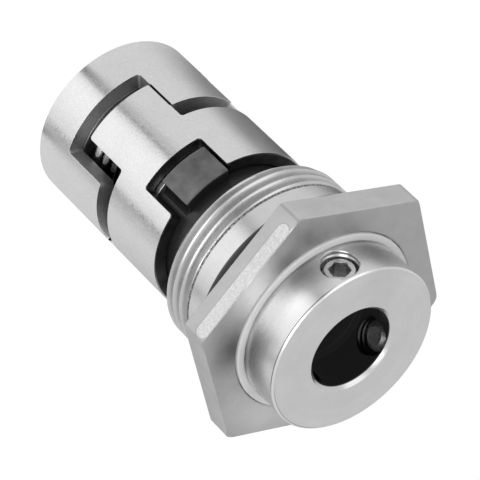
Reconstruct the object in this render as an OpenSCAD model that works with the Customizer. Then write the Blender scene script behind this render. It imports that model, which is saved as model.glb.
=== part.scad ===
// Cartridge mechanical seal for a pump shaft, standing on its spring cup with the shaft axis along Z

/* [Shaft and sleeve] */
// Diameter of the shaft that the seal slides on
shaft_d = 12; // [10:0.5:16]
// Wall of the thin shaft sleeve
sleeve_wall = 1.1; // [0.8:0.05:1.5]
// Radial thickness of the sleeve's foot around the shaft bore
foot_wall = 2.9; // [2.6:0.1:3.3]
// Height that the foot is set back from the cup's rim
foot_setback = 0.3; // [0.1:0.1:0.8]
// Section diameter of the O-ring between sleeve and shaft
shaft_ring_section = 1.8; // [1.4:0.1:2.1]
// Distance that the sleeve is pressed into the collar
sleeve_grip = 2.5; // [1.5:0.1:3.2]

/* [Coil spring] */
// Wire diameter of the coil spring
wire_d = 1.45; // [1.1:0.05:1.7]
// Open turns of the coil spring between its two closed end turns
spring_turns = 4; // [3:0.25:4.25]
// Radial space between sleeve and spring
spring_inner_gap = 0.8; // [0.5:0.05:1.1]
// Radial space between spring and cup
spring_outer_gap = 0.65; // [0.4:0.05:1]
// Length of the spring as fitted
spring_h = 12.1; // [11.5:0.1:14]
// Thickness of the flat washer under the spring
spring_washer_h = 0.5; // [0.3:0.05:0.55]

/* [Spring cup] */
// Wall of the cup
cup_wall = 2.4; // [1.8:0.1:3]
// Depth of the hollow under the cup's floor
cup_recess = 3.9; // [3.6:0.1:5]
// Thickness of the cup's floor
cup_floor = 1.8; // [1.2:0.1:3]
// Height of the slots' sills above the floor
cup_sill = 0.6; // [0.6:0.1:2]
// Height of the castellations above the sills
cup_land_h = 7.8; // [6:0.1:8.5]
// Width of each slot of the cup
cup_slot_deg = 69; // [62:1:76]

/* [Drive ring] */
// Height of the plain band between the two rows of castellations
band_h = 4.9; // [4:0.1:6]
// Free height between facing castellations
dog_gap = 2.65; // [2.55:0.05:3.2]
// Width of each tab that stands in a slot of the cup
tab_deg = 50.5; // [44:0.5:54]
// Angle between a tab and the wall that drives it
tab_side_deg = 0.8; // [0.6:0.1:2]
// Height of the castellations round the seal ring
drive_land_h = 6.3; // [5:0.1:7.5]
// Width of each slot that takes a lug of the seal ring
drive_slot_deg = 46.5; // [42:0.5:52]
// Wall of the skirt round the seal ring
skirt_wall = 1.8; // [1.4:0.1:2.2]
// Thickness of the inner web that the spring pushes on
web_h = 2.6; // [1.6:0.1:3]
// Thickness of the washer behind the seal ring's O-ring
backup_washer_h = 1.5; // [1:0.1:2]

/* [Seal ring] */
// Height of the seal ring's body
seal_body_h = 11; // [9:0.05:13]
// Height of the narrow lapped nose
nose_h = 1.0; // [0.6:0.1:1.6]
// Radial width of the lapped nose
nose_w = 1.7; // [1.2:0.1:2]
// Radial step from the seal ring's bore to its nose
nose_inset = 0.7; // [0.4:0.1:1]
// Height of the drive lugs
lug_h = 5.7; // [4.5:0.1:6.5]
// Height of the lugs' lower ends above the ring's own lower end
lug_lift = 0.5; // [0.3:0.05:1.5]
// Width of each lug at its crown
lug_deg = 34.5; // [28:0.5:38]
// Angle between a lug and the wall that drives it
lug_side_deg = 1.6; // [1:0.1:3]
// Radius of the fillet at the foot of a lug's free side
lug_fillet = 1.5; // [0.8:0.1:1.6]
// Depth of the lug's crown below the drive ring's outside
lug_inset = 0.3; // [0.1:0.05:0.6]
// Section diameter of the O-ring inside the seal ring
seal_ring_section = 1.9; // [1.5:0.05:2.2]

/* [Stationary seat] */
// Height of the seat's wide face end
seat_face_h = 2.85; // [2:0.05:4]
// Height of the seat's narrow back end
seat_back_h = 2.3; // [1.9:0.05:3]
// Radial thickness of the seat's narrow back end
seat_back_wall = 2.04; // [1.7:0.02:2.3]
// Section diameter of the O-ring round the seat's back
seat_ring_section = 1.76; // [1.4:0.02:1.86]
// Radial space between the sleeve and the parts that stand still round it
pass_gap = 0.5; // [0.3:0.05:0.8]
// Diameter of the pin that keeps the seat from turning
lock_pin_d = 1.2; // [0.8:0.1:1.3]
// Depth of that pin in the seat
lock_pin_in_seat = 1.6; // [1:0.1:1.8]
// Depth of that pin in the gland
lock_pin_in_gland = 2.4; // [1.5:0.1:3]

/* [Gland] */
// Major diameter of the gland's thread
thread_d = 28; // [27:0.5:30]
// Distance that the neck reaches past the seal faces
neck_skirt = 2.15; // [1.5:0.05:3]
// Diameter of the plain neck above the thread
plain_d = 27.4; // [26.6:0.1:28]
// Length of the plain neck
plain_h = 3.5; // [2.5:0.1:4]
// Width of the relief at the end of the thread
relief_w = 0.7; // [0.4:0.1:1]
// Depth of that relief below the thread's crest
relief_depth = 0.4; // [0.35:0.05:1.2]
// Chamfer at the start of the thread
thread_chamfer = 0.9; // [0.5:0.1:1.2]
// Section diameter of the O-ring under the hexagon
gland_ring_section = 2.8; // [2.4:0.1:3]
// Depth of that O-ring's groove below the plain neck
gland_groove_depth = 1.1; // [0.7:0.1:1.3]
// Width of the hexagon across its flats
hex_af = 34.1; // [33:0.1:38]
// Thickness of the hexagon
hex_h = 4; // [3:0.05:5]
// Width of the hexagon across its turned corners
hex_corner_d = 39.1; // [38:0.1:39.3]
// Slope of the chamfer turned on the hexagon's corners
hex_chamfer_deg = 28; // [15:1:35]
// How far in from the turned corners that chamfer reaches
hex_corner_cut = 0.3; // [0.1:0.05:1]
// Thickness of the wall between seat and spacer
gland_web_h = 5.3; // [4.8:0.1:6]

/* [Spacer ring] */
// Outside diameter of the white spacer ring
spacer_d = 26.8; // [25.6:0.1:27.4]
// Thickness of its visible flange
spacer_flange_h = 1.6; // [1.2:0.1:2.4]
// Height that the flange stands proud of the hexagon
spacer_proud = 0.25; // [0.1:0.05:0.8]
// Length of its inner bush
spacer_bush_h = 1.9; // [1:0.1:2.2]
// Wall of its inner bush
spacer_bush_wall = 1.3; // [0.8:0.1:1.5]

/* [Lock collar] */
// Outside diameter of the collar
collar_d = 25; // [24.4:0.1:27]
// Height of the collar above the spacer ring
collar_h = 6.2; // [6:0.1:8]
// Chamfer round the collar's front
collar_chamfer = 0.25; // [0.2:0.05:0.8]
// Chamfer of the bore at the front
bore_chamfer = 0.55; // [0.3:0.05:0.8]
// Wall of the collar's neck round the sleeve
collar_neck_wall = 2.1; // [1.6:0.1:2.2]
// Length of the collar's neck inside the gland
collar_neck_h = 3.3; // [3:0.1:3.4]

/* [Set screws] */
// Number of set screws
screw_count = 3; // [2:1:3]
// Thread diameter of the set screws
screw_d = 5; // [4:0.5:5]
// Length of the set screws
screw_len = 5; // [4:0.25:5.5]
// Space between a screw's tip and the shaft
screw_tip_gap = 0.5; // [0.1:0.05:0.7]
// Width of the hexagon socket across its flats
socket_af = 2.5; // [2:0.1:2.6]
// Depth of the hexagon socket
socket_depth = 2.3; // [1.5:0.1:2.5]
// Turn of the sockets' corners away from the shaft's direction
socket_turn = 10; // [0:1:59]
// Diameter of the cup point's rim
point_d = 2.5; // [2:0.1:3.4]
// Depth of the hollow in the cup point
point_depth = 0.5; // [0.3:0.05:0.8]
// Height of the screws' axis above the middle of the collar
screw_rise = 0; // [-0.3:0.05:0.1]

/* [Fits] */
// Radial clearance of a running or sliding fit
running = 0.08; // [0.05:0.01:0.1]
// Radial clearance of a loose fit
loose = 0.15; // [0.1:0.01:0.2]
// Clearance between faces that touch on the real seal
face_gap = 0.05; // [0.03:0.01:0.1]
// Clearance round a set screw
screw_fit = 0.04; // [0.02:0.01:0.08]
// Chamfer that breaks a turned edge
edge_break = 0.2; // [0.1:0.05:0.3]

/* [Placing] */
// Angle of the middle of the cup's first slot
cup_turn = 33.8; // [0:0.1:119]
// Angle of the first flat of the hexagon
hex_turn = 39.6; // [0:0.1:59]

/* [Hidden] */

$fn = 96;
overlap = 0.01;
section_sides = 32;
past_edge = 1;
closed_coil_gap = 0.02;

// Radii from the shaft outwards
bore_r = shaft_d / 2;
sleeve_r = bore_r + sleeve_wall;
foot_r = bore_r + foot_wall;
spring_in_r = sleeve_r + spring_inner_gap;
spring_mid_r = spring_in_r + wire_d / 2;
well_r = spring_in_r + wire_d + spring_outer_gap;
cup_r = well_r + cup_wall;
skirt_in_r = cup_r - skirt_wall;
seal_body_r = skirt_in_r - loose;
seal_bore_r = sleeve_r + loose;
lug_r = cup_r - lug_inset;
still_bore_r = sleeve_r + pass_gap;
thread_r = thread_d / 2;
seat_back_r = still_bore_r + seat_back_wall;
neck_bore_r = seat_back_r + seat_ring_section + 2 * face_gap;
seat_r = neck_bore_r - loose;
lock_pin_at_r = (still_bore_r + seat_back_r) / 2;
plain_r = plain_d / 2;
gland_groove_r = plain_r - gland_groove_depth;
collar_r = collar_d / 2;
collar_neck_r = sleeve_r + collar_neck_wall;
spacer_bore_r = collar_neck_r + running;
bush_r = spacer_bore_r + spacer_bush_wall;
spacer_r = spacer_d / 2;

// Heights from the cup's rim upwards
floor_z = cup_recess;
floor_top = floor_z + cup_floor;
sill_z = floor_top + cup_sill;
cup_top = sill_z + cup_land_h;
tab_z = sill_z + dog_gap;
band_z = cup_top + dog_gap;
band_top = band_z + band_h;
ring_top = band_top + drive_land_h;
spring_z = floor_top + spring_washer_h;
web_z = spring_z + spring_h + face_gap;
web_top = web_z + web_h;
seal_z = web_top + backup_washer_h + face_gap;
seal_shoulder_z = seal_z + seal_body_h;
nose_z = seal_shoulder_z + nose_h;
lug_z = seal_z + lug_lift;
seat_z = nose_z + face_gap;
seat_step_z = seat_z + seat_face_h;
seat_back_z = seat_step_z + seat_back_h;
gland_web_z = seat_back_z + face_gap;
bush_z = gland_web_z + gland_web_h;
flange_z = bush_z + spacer_bush_h;
flange_top = flange_z + spacer_flange_h;
hex_top = flange_top - spacer_proud;
hex_z = hex_top - hex_h;
gland_groove_z = hex_z - gland_ring_section - 2 * face_gap;
relief_z = gland_groove_z - plain_h - relief_w;
neck_z = seat_z - neck_skirt;
collar_z = flange_top + face_gap;
collar_neck_z = collar_z - collar_neck_h;
sleeve_top = collar_neck_z + sleeve_grip;
top_z = collar_z + collar_h;
screw_z = collar_z + collar_h / 2 + screw_rise;
screw_tip_r = bore_r + screw_tip_gap;

// Turns about the shaft, each measured from the wall that drives the next piece
dogs = 3;
pitch_deg = 360 / dogs;
drive_wall_deg = cup_turn - cup_slot_deg / 2;
tab_turn = drive_wall_deg + tab_side_deg + tab_deg / 2;
lug_turn = tab_turn - drive_slot_deg / 2 + lug_side_deg + lug_deg / 2;
lug_root_depth = 0.5;
fillet_lap_deg = 1;
screw_turn = 118.8;

// Grooves of the shaft's and the seal ring's O-rings
groove_room = 0.4;
foot_groove_h = shaft_ring_section + groove_room;
foot_groove_r = bore_r + shaft_ring_section + 2 * face_gap;
foot_groove_z = foot_setback + (floor_z - foot_setback - foot_groove_h) / 2;
seal_pocket_r = sleeve_r + running + seal_ring_section + face_gap;
seal_pocket_h = seal_ring_section + groove_room;

// Steel colours as the photograph shows them
blasted_steel = [0.76, 0.76, 0.75];
turned_steel = [0.7, 0.7, 0.69];
dark_steel = [0.35, 0.35, 0.36];
carbon_black = [0.2, 0.2, 0.21];
rubber_black = [0.06, 0.06, 0.06];
plastic_white = [0.9, 0.9, 0.88];

// Straight ring between two radii
module ring(outer_r, inner_r, z, h) {
    translate([0, 0, z])
        difference() {
            cylinder(r = outer_r, h = h);
            translate([0, 0, -overlap])
                cylinder(r = inner_r, h = h + 2 * overlap);
        }
}

// O-ring lying flat at height z
module o_ring(mid_r, section_d, z) {
    translate([0, 0, z])
        rotate_extrude()
            translate([mid_r, 0])
                circle(d = section_d, $fn = section_sides);
}

// Flat outline of a wedge centred on +X and reaching past radius r
module wedge_outline(deg, r) {
    reach = (r + past_edge) / cos(deg / 2);
    polygon([[0, 0], reach * [cos(deg / 2), -sin(deg / 2)], reach * [cos(deg / 2), sin(deg / 2)]]);
}

// A wedge for each dog, the first one turned to turn_deg
module wedges(turn_deg, deg, r, z, h) {
    for (k = [0 : dogs - 1])
        rotate([0, 0, turn_deg + k * pitch_deg])
            translate([0, 0, z])
                linear_extrude(height = h)
                    wedge_outline(deg, r);
}

// Thin tube that carries the rotating parts, with a foot at the far end
module shaft_sleeve() {
    color(turned_steel)
        rotate_extrude()
            polygon([
                [bore_r + edge_break, foot_setback],
                [foot_r - edge_break, foot_setback],
                [foot_r, foot_setback + edge_break],
                [foot_r, floor_z],
                [sleeve_r, floor_z],
                [sleeve_r, sleeve_top - edge_break],
                [sleeve_r - edge_break, sleeve_top],
                [bore_r, sleeve_top],
                [bore_r, foot_groove_z + foot_groove_h],
                [foot_groove_r, foot_groove_z + foot_groove_h],
                [foot_groove_r, foot_groove_z],
                [bore_r, foot_groove_z],
                [bore_r, foot_setback + edge_break],
            ]);
}

module shaft_o_ring() {
    color(rubber_black)
        o_ring(bore_r + face_gap + shaft_ring_section / 2, shaft_ring_section,
               foot_groove_z + foot_groove_h / 2);
}

// Castellated cup whose floor rests on the sleeve's foot
module spring_cup() {
    color(blasted_steel)
        difference() {
            rotate_extrude()
                polygon([
                    [well_r, 0],
                    [cup_r - edge_break, 0],
                    [cup_r, edge_break],
                    [cup_r, cup_top - edge_break],
                    [cup_r - edge_break, cup_top],
                    [well_r + edge_break, cup_top],
                    [well_r, cup_top - edge_break],
                    [well_r, floor_top],
                    [sleeve_r, floor_top],
                    [sleeve_r, floor_z],
                    [well_r, floor_z],
                ]);
            wedges(cup_turn, cup_slot_deg, cup_r, sill_z, cup_land_h + overlap);
        }
}

// Steel ring on the shaft with three tapped holes for the set screws
module lock_collar() {
    color(turned_steel)
        difference() {
            rotate_extrude()
                polygon([
                    [sleeve_r, collar_neck_z],
                    [collar_neck_r - edge_break, collar_neck_z],
                    [collar_neck_r, collar_neck_z + edge_break],
                    [collar_neck_r, collar_z],
                    [collar_r - edge_break, collar_z],
                    [collar_r, collar_z + edge_break],
                    [collar_r, top_z - collar_chamfer],
                    [collar_r - collar_chamfer, top_z],
                    [bore_r + bore_chamfer, top_z],
                    [bore_r, top_z - bore_chamfer],
                    [bore_r, sleeve_top],
                    [sleeve_r, sleeve_top],
                ]);
            for (k = [0 : screw_count - 1])
                at_screw(k)
                    cylinder(d = screw_d, h = collar_d);
        }
}

// Places its child on the axis of set screw k, +Z pointing away from the shaft
module at_screw(k) {
    rotate([0, 0, screw_turn + k * 360 / screw_count])
        translate([0, 0, screw_z])
            rotate([0, 90, 0])
                children();
}

// Cup-point set screw with a hexagon socket
module set_screw(k) {
    body_r = screw_d / 2 - screw_fit;
    point_r = point_d / 2;
    point_h = body_r - point_r;
    color(dark_steel)
        at_screw(k)
            translate([0, 0, screw_tip_r])
                difference() {
                    rotate_extrude()
                        polygon([
                            [0, point_depth],
                            [point_r, 0],
                            [body_r, point_h],
                            [body_r, screw_len - edge_break],
                            [body_r - edge_break, screw_len],
                            [0, screw_len],
                        ]);
                    translate([0, 0, screw_len - socket_depth])
                        rotate([0, 0, -socket_turn])
                            cylinder(d = socket_af / cos(30), h = socket_depth + overlap, $fn = 6);
                }
}

module spring_washer() {
    color(turned_steel)
        ring(well_r - loose, sleeve_r + loose, floor_top, spring_washer_h);
}

// Round wire swept along a helix whose first and last turns lie closed
module coil_spring() {
    sides = 12;
    steps_per_turn = 30;
    end_pitch = wire_d + closed_coil_gap;
    turns = spring_turns + 2;
    open_pitch = (spring_h - wire_d - 2 * end_pitch) / spring_turns;
    steps = turns * steps_per_turn;
    function rise(u) = min(u, 1) * end_pitch + min(max(u - 1, 0), spring_turns) * open_pitch
        + max(u - 1 - spring_turns, 0) * end_pitch;
    function wire_ring(u) = [for (j = [0 : sides - 1])
        let (a = 360 * j / sides, r = spring_mid_r + wire_d / 2 * cos(a))
        [r * cos(360 * u), r * sin(360 * u),
         spring_z + wire_d / 2 + rise(u) + wire_d / 2 * sin(a)]];
    points = [for (i = [0 : steps]) each wire_ring(i / steps_per_turn)];
    walls = [for (i = [0 : steps - 1]) for (j = [0 : sides - 1])
        let (a = i * sides + j, b = i * sides + (j + 1) % sides)
        [a, a + sides, b + sides, b]];
    start_cap = [[for (j = [0 : sides - 1]) j]];
    end_cap = [[for (j = [0 : sides - 1]) steps * sides + sides - 1 - j]];
    color(turned_steel)
        polyhedron(points = points, faces = concat(walls, start_cap, end_cap), convexity = 8);
}

// Ring with tabs in the cup's slots below and slots for the seal ring's lugs above
module drive_ring() {
    gap_deg = pitch_deg - tab_deg;
    color(blasted_steel)
        difference() {
            rotate_extrude()
                polygon([
                    [well_r, tab_z + edge_break],
                    [well_r + edge_break, tab_z],
                    [cup_r - edge_break, tab_z],
                    [cup_r, tab_z + edge_break],
                    [cup_r, ring_top - edge_break],
                    [cup_r - edge_break, ring_top],
                    [skirt_in_r + edge_break, ring_top],
                    [skirt_in_r, ring_top - edge_break],
                    [skirt_in_r, web_top],
                    [sleeve_r + running, web_top],
                    [sleeve_r + running, web_z],
                    [well_r, web_z],
                ]);
            wedges(tab_turn + pitch_deg / 2, gap_deg, cup_r, tab_z - overlap,
                   cup_land_h + overlap);
            wedges(tab_turn, drive_slot_deg, cup_r, band_top, drive_land_h + overlap);
        }
}

module backup_washer() {
    color(turned_steel)
        ring(skirt_in_r - loose, sleeve_r + loose, web_top, backup_washer_h);
}

// Rotating seal ring: lapped nose above, O-ring pocket below, three drive lugs outside
module seal_ring() {
    nose_in_r = seal_bore_r + nose_inset;
    color(carbon_black)
        union() {
            rotate_extrude()
                polygon([
                    [seal_pocket_r, seal_z],
                    [seal_body_r - edge_break, seal_z],
                    [seal_body_r, seal_z + edge_break],
                    [seal_body_r, seal_shoulder_z - edge_break],
                    [seal_body_r - edge_break, seal_shoulder_z],
                    [nose_in_r + nose_w, seal_shoulder_z],
                    [nose_in_r + nose_w, nose_z],
                    [nose_in_r, nose_z],
                    [nose_in_r, seal_shoulder_z],
                    [seal_bore_r, seal_shoulder_z],
                    [seal_bore_r, seal_z + seal_pocket_h],
                    [seal_pocket_r, seal_z + seal_pocket_h],
                ]);
            for (k = [0 : dogs - 1])
                rotate([0, 0, lug_turn + k * pitch_deg])
                    drive_lug();
        }
}

// One lug centred on +X, with a fillet at the foot of its free side
module drive_lug() {
    root_r = seal_body_r - lug_root_depth;
    fillet_mid_r = seal_body_r + lug_fillet;
    fillet_deg = asin(lug_fillet / fillet_mid_r);
    fillet_top_r = sqrt(fillet_mid_r * fillet_mid_r - lug_fillet * lug_fillet);
    free_side = lug_deg / 2;
    lapped_side = free_side - fillet_lap_deg;
    fillet_foot = free_side + fillet_deg;
    translate([0, 0, lug_z])
        linear_extrude(height = lug_h) {
            difference() {
                intersection() {
                    circle(r = lug_r);
                    wedge_outline(lug_deg, lug_r);
                }
                circle(r = root_r);
            }
            difference() {
                polygon([
                    root_r * [cos(lapped_side), sin(lapped_side)],
                    fillet_top_r * [cos(lapped_side), sin(lapped_side)],
                    fillet_top_r * [cos(free_side), sin(free_side)],
                    seal_body_r * [cos(fillet_foot), sin(fillet_foot)],
                    root_r * [cos(fillet_foot), sin(fillet_foot)],
                ]);
                rotate(fillet_foot)
                    translate([fillet_mid_r, 0])
                        circle(r = lug_fillet);
            }
        }
}

module seal_ring_o_ring() {
    color(rubber_black)
        o_ring(sleeve_r + running + seal_ring_section / 2, seal_ring_section,
               seal_z + seal_ring_section / 2);
}

// Fixed seal face, stepped for the O-ring behind it
module stationary_seat() {
    color(carbon_black)
        difference() {
            rotate_extrude()
                polygon([
                    [still_bore_r, seat_z],
                    [seat_r - edge_break, seat_z],
                    [seat_r, seat_z + edge_break],
                    [seat_r, seat_step_z],
                    [seat_back_r, seat_step_z],
                    [seat_back_r, seat_back_z],
                    [still_bore_r, seat_back_z],
                ]);
            at_lock_pin(seat_back_z - lock_pin_in_seat - face_gap)
                cylinder(d = lock_pin_d + 2 * face_gap, h = lock_pin_in_seat + past_edge);
        }
}

module seat_o_ring() {
    color(rubber_black)
        o_ring(seat_back_r + face_gap + seat_ring_section / 2, seat_ring_section,
               seat_step_z + seat_back_h / 2);
}

// Places its child on the lock pin's axis, starting at height z
module at_lock_pin(z) {
    rotate([0, 0, hex_turn])
        translate([lock_pin_at_r, 0, z])
            children();
}

module seat_lock_pin() {
    color(turned_steel)
        at_lock_pin(seat_back_z - lock_pin_in_seat)
            cylinder(d = lock_pin_d, h = lock_pin_in_seat + face_gap + lock_pin_in_gland);
}

// Hexagonal flange and threaded neck in one piece
module gland() {
    color(turned_steel)
        difference() {
            union() {
                gland_neck();
                gland_hexagon();
            }
            rotate_extrude()
                polygon([
                    [0, neck_z - overlap],
                    [neck_bore_r, neck_z - overlap],
                    [neck_bore_r, gland_web_z],
                    [still_bore_r, gland_web_z],
                    [still_bore_r, bush_z],
                    [bush_r + face_gap, bush_z],
                    [bush_r + face_gap, flange_z],
                    [spacer_r + loose, flange_z],
                    [spacer_r + loose, hex_top + overlap],
                    [0, hex_top + overlap],
                ]);
            at_lock_pin(gland_web_z - overlap)
                cylinder(d = lock_pin_d, h = lock_pin_in_gland + overlap);
        }
}

// Neck with the thread's crest as a plain cylinder, its relief, plain land and O-ring groove
module gland_neck() {
    rotate_extrude()
        polygon([
            [0, neck_z],
            [thread_r - thread_chamfer, neck_z],
            [thread_r, neck_z + thread_chamfer],
            [thread_r, relief_z],
            [thread_r - relief_depth, relief_z],
            [thread_r - relief_depth, relief_z + relief_w],
            [plain_r, relief_z + relief_w],
            [plain_r, gland_groove_z],
            [gland_groove_r, gland_groove_z],
            [gland_groove_r, hex_z + overlap],
            [0, hex_z + overlap],
        ]);
}

// Hexagon with its corners turned and chamfered on the open side
module gland_hexagon() {
    corner_r = hex_corner_d / 2;
    face_r = corner_r - hex_corner_cut;
    drop = (corner_r - face_r) * tan(hex_chamfer_deg);
    intersection() {
        rotate([0, 0, hex_turn + 30])
            translate([0, 0, hex_z])
                cylinder(d = hex_af / cos(30), h = hex_h, $fn = 6);
        rotate_extrude()
            polygon([
                [0, hex_z],
                [corner_r, hex_z],
                [corner_r, hex_top - drop],
                [face_r, hex_top],
                [0, hex_top],
            ]);
    }
}

module gland_o_ring() {
    color(rubber_black)
        o_ring(gland_groove_r + face_gap + gland_ring_section / 2, gland_ring_section,
               (gland_groove_z + hex_z) / 2);
}

// White ring whose bush guides the collar's neck
module spacer_ring() {
    color(plastic_white)
        rotate_extrude()
            polygon([
                [spacer_bore_r, bush_z],
                [bush_r, bush_z],
                [bush_r, flange_z],
                [spacer_r, flange_z],
                [spacer_r, flange_top - edge_break],
                [spacer_r - edge_break, flange_top],
                [spacer_bore_r, flange_top],
            ]);
}

shaft_sleeve();
shaft_o_ring();
spring_cup();
lock_collar();
set_screw(0);  // set_screw_1
set_screw(1);  // set_screw_2
set_screw(2);  // set_screw_3
spring_washer();
coil_spring();
drive_ring();
backup_washer();
seal_ring();
seal_ring_o_ring();
stationary_seat();
seat_o_ring();
seat_lock_pin();
gland();
gland_o_ring();
spacer_ring();
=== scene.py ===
"""Looks of a cartridge mechanical seal.

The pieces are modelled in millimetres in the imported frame's own axes, and turned to metres when
they become objects. Angles round the shaft are in degrees from +X.

A field whose name says what it is has no note of its own. In every finish, level is how light it
is and roughness its mean roughness. Clouded, specked, ringed and the like say how much a pattern
changes the lightness, or the roughness where rough_ stands before them. After the name of a
place, dark says how much it darkens and rough what roughness it adds.
"""

from __future__ import annotations

import logging
import math
from dataclasses import dataclass, field
from enum import Enum
from functools import cached_property
from typing import Iterable, Mapping, Sequence

import bmesh
import bpy
from mathutils import Matrix, Vector

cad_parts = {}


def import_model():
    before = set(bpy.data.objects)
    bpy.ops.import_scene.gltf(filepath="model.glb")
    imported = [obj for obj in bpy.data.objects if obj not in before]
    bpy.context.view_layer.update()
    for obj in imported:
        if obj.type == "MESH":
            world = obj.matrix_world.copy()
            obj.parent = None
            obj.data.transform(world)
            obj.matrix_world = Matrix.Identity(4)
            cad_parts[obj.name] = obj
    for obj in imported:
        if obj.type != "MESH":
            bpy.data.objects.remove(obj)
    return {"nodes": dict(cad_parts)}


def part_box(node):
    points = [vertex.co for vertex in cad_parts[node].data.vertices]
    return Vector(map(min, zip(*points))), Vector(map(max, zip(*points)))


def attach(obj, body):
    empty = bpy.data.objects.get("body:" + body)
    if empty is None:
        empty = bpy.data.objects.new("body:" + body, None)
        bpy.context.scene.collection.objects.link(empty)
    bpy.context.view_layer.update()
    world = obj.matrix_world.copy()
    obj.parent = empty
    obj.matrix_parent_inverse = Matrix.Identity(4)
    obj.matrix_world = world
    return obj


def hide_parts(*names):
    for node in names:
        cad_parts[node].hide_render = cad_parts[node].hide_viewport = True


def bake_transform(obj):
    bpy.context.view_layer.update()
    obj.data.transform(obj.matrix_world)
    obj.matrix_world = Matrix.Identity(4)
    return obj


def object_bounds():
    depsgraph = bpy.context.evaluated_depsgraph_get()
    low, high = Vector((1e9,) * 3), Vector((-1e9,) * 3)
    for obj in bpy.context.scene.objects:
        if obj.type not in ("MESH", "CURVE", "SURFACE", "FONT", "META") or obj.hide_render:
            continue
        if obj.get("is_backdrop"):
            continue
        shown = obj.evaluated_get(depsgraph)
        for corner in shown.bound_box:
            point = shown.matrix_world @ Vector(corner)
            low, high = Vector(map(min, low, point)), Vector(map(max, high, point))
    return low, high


LOG = logging.getLogger("seal")
MM = 0.001
FULL_TURN = 2 * math.pi
# Tabs, slots and lugs stand round the shaft in threes.
DOGS = 3
DOG_PITCH = 360 / DOGS
# Sides of the hexagon and of the screws' sockets.
FLATS = 6
FLAT_PITCH = 360 / FLATS
# Vertices that lie closer than this are one, in millimetres.
WELD = 1e-4
SLIVER = WELD / 10
# Radius and height, or x and y.
Point = tuple[float, float]
# An ease says where a value leaves 0, and where it reaches 1.
Ease = tuple[float, float]


class Slot(Enum):
    """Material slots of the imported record."""

    TURNED = "turned_steel"
    BLASTED = "blasted_steel"
    COLLAR = "collar_steel"
    GLAND = "gland_steel"
    SCREW = "screw_steel"
    SPRING = "spring_steel"
    CARBON = "carbon"
    RUBBER = "rubber"
    PLASTIC = "white_plastic"


class Value:
    """A shader value that can be written into an expression."""

    def __init__(self, tree: "ShaderTree", socket: bpy.types.NodeSocket) -> None:
        """Wraps a socket.

        Args:
            tree: The tree that the socket belongs to.
            socket: The output socket.
        """
        self.tree = tree
        self.socket = socket

    def apply(self, operation: str, *others: "Value | float") -> "Value":
        """Adds a Math node that works on this value.

        Args:
            operation: The node's operation.
            others: The further inputs, in order.

        Returns:
            The node's result.
        """
        inputs = dict(enumerate((self, *others)))
        return self.tree.node("ShaderNodeMath", {"operation": operation}, inputs)

    def __add__(self, other: "Value | float") -> "Value":
        """Returns the sum."""
        return self.apply("ADD", other)

    def __radd__(self, other: float) -> "Value":
        """Returns the sum."""
        return self.apply("ADD", other)

    def __sub__(self, other: "Value | float") -> "Value":
        """Returns the difference."""
        return self.apply("SUBTRACT", other)

    def __rsub__(self, other: float) -> "Value":
        """Returns a number less this value."""
        return self.tree.node("ShaderNodeMath", {"operation": "SUBTRACT"}, {0: other, 1: self})

    def __mul__(self, other: "Value | float") -> "Value":
        """Returns the product."""
        return self.apply("MULTIPLY", other)

    def __rmul__(self, other: float) -> "Value":
        """Returns the product."""
        return self.apply("MULTIPLY", other)

    def __truediv__(self, other: "Value | float") -> "Value":
        """Returns the quotient."""
        return self.apply("DIVIDE", other)

    def at_least(self, other: "Value | float") -> "Value":
        """Returns the larger of the two."""
        return self.apply("MAXIMUM", other)

    def size(self) -> "Value":
        """Returns the value without its sign."""
        return self.apply("ABSOLUTE")

    def root(self) -> "Value":
        """Returns the square root."""
        return self.apply("SQRT")

    def sine(self) -> "Value":
        """Returns the sine of an angle in degrees."""
        return (self * math.radians(1)).apply("SINE")

    def swing(self, amount: float) -> "Value":
        """Turns a pattern from 0 to 1 into a swing round zero, as wide as the amount."""
        return (self - 0.5) * amount

    def past(self, middle: float, period: float) -> "Value":
        """Measures how far the value is past the nearest of a row of even places.

        Args:
            middle: One of the places.
            period: The distance between them.

        Returns:
            The distance, below zero in front of the place.
        """
        half = period / 2
        return (self - (middle - half)).apply("FLOORED_MODULO", period) - half

    def step(self, low: float, high: float) -> "Value":
        """Eases from 0 to 1.

        Args:
            low: Where the result leaves 0. It may lie above high, and the step then falls.
            high: Where the result reaches 1.

        Returns:
            The eased value.
        """
        settings = {"interpolation_type": "SMOOTHSTEP", "clamp": True}
        ends = (low, high, 0.0, 1.0) if low <= high else (high, low, 1.0, 0.0)
        inputs = dict(enumerate((self, *ends)))
        return self.tree.node("ShaderNodeMapRange", settings, inputs)

    def bump(self, middle: float, half_width: float) -> "Value":
        """Returns 1 at the middle, easing to 0 at half_width on each side."""
        return (self - middle).size().step(half_width, 0.0)


@dataclass(frozen=True)
class Grain:
    """A noise pattern.

    Attributes:
        size: Size of its features, in millimetres.
        detail: Octaves of finer detail.
        rough: Strength of those octaves.
    """

    size: float
    detail: float = 2.0
    rough: float = 0.6


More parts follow.
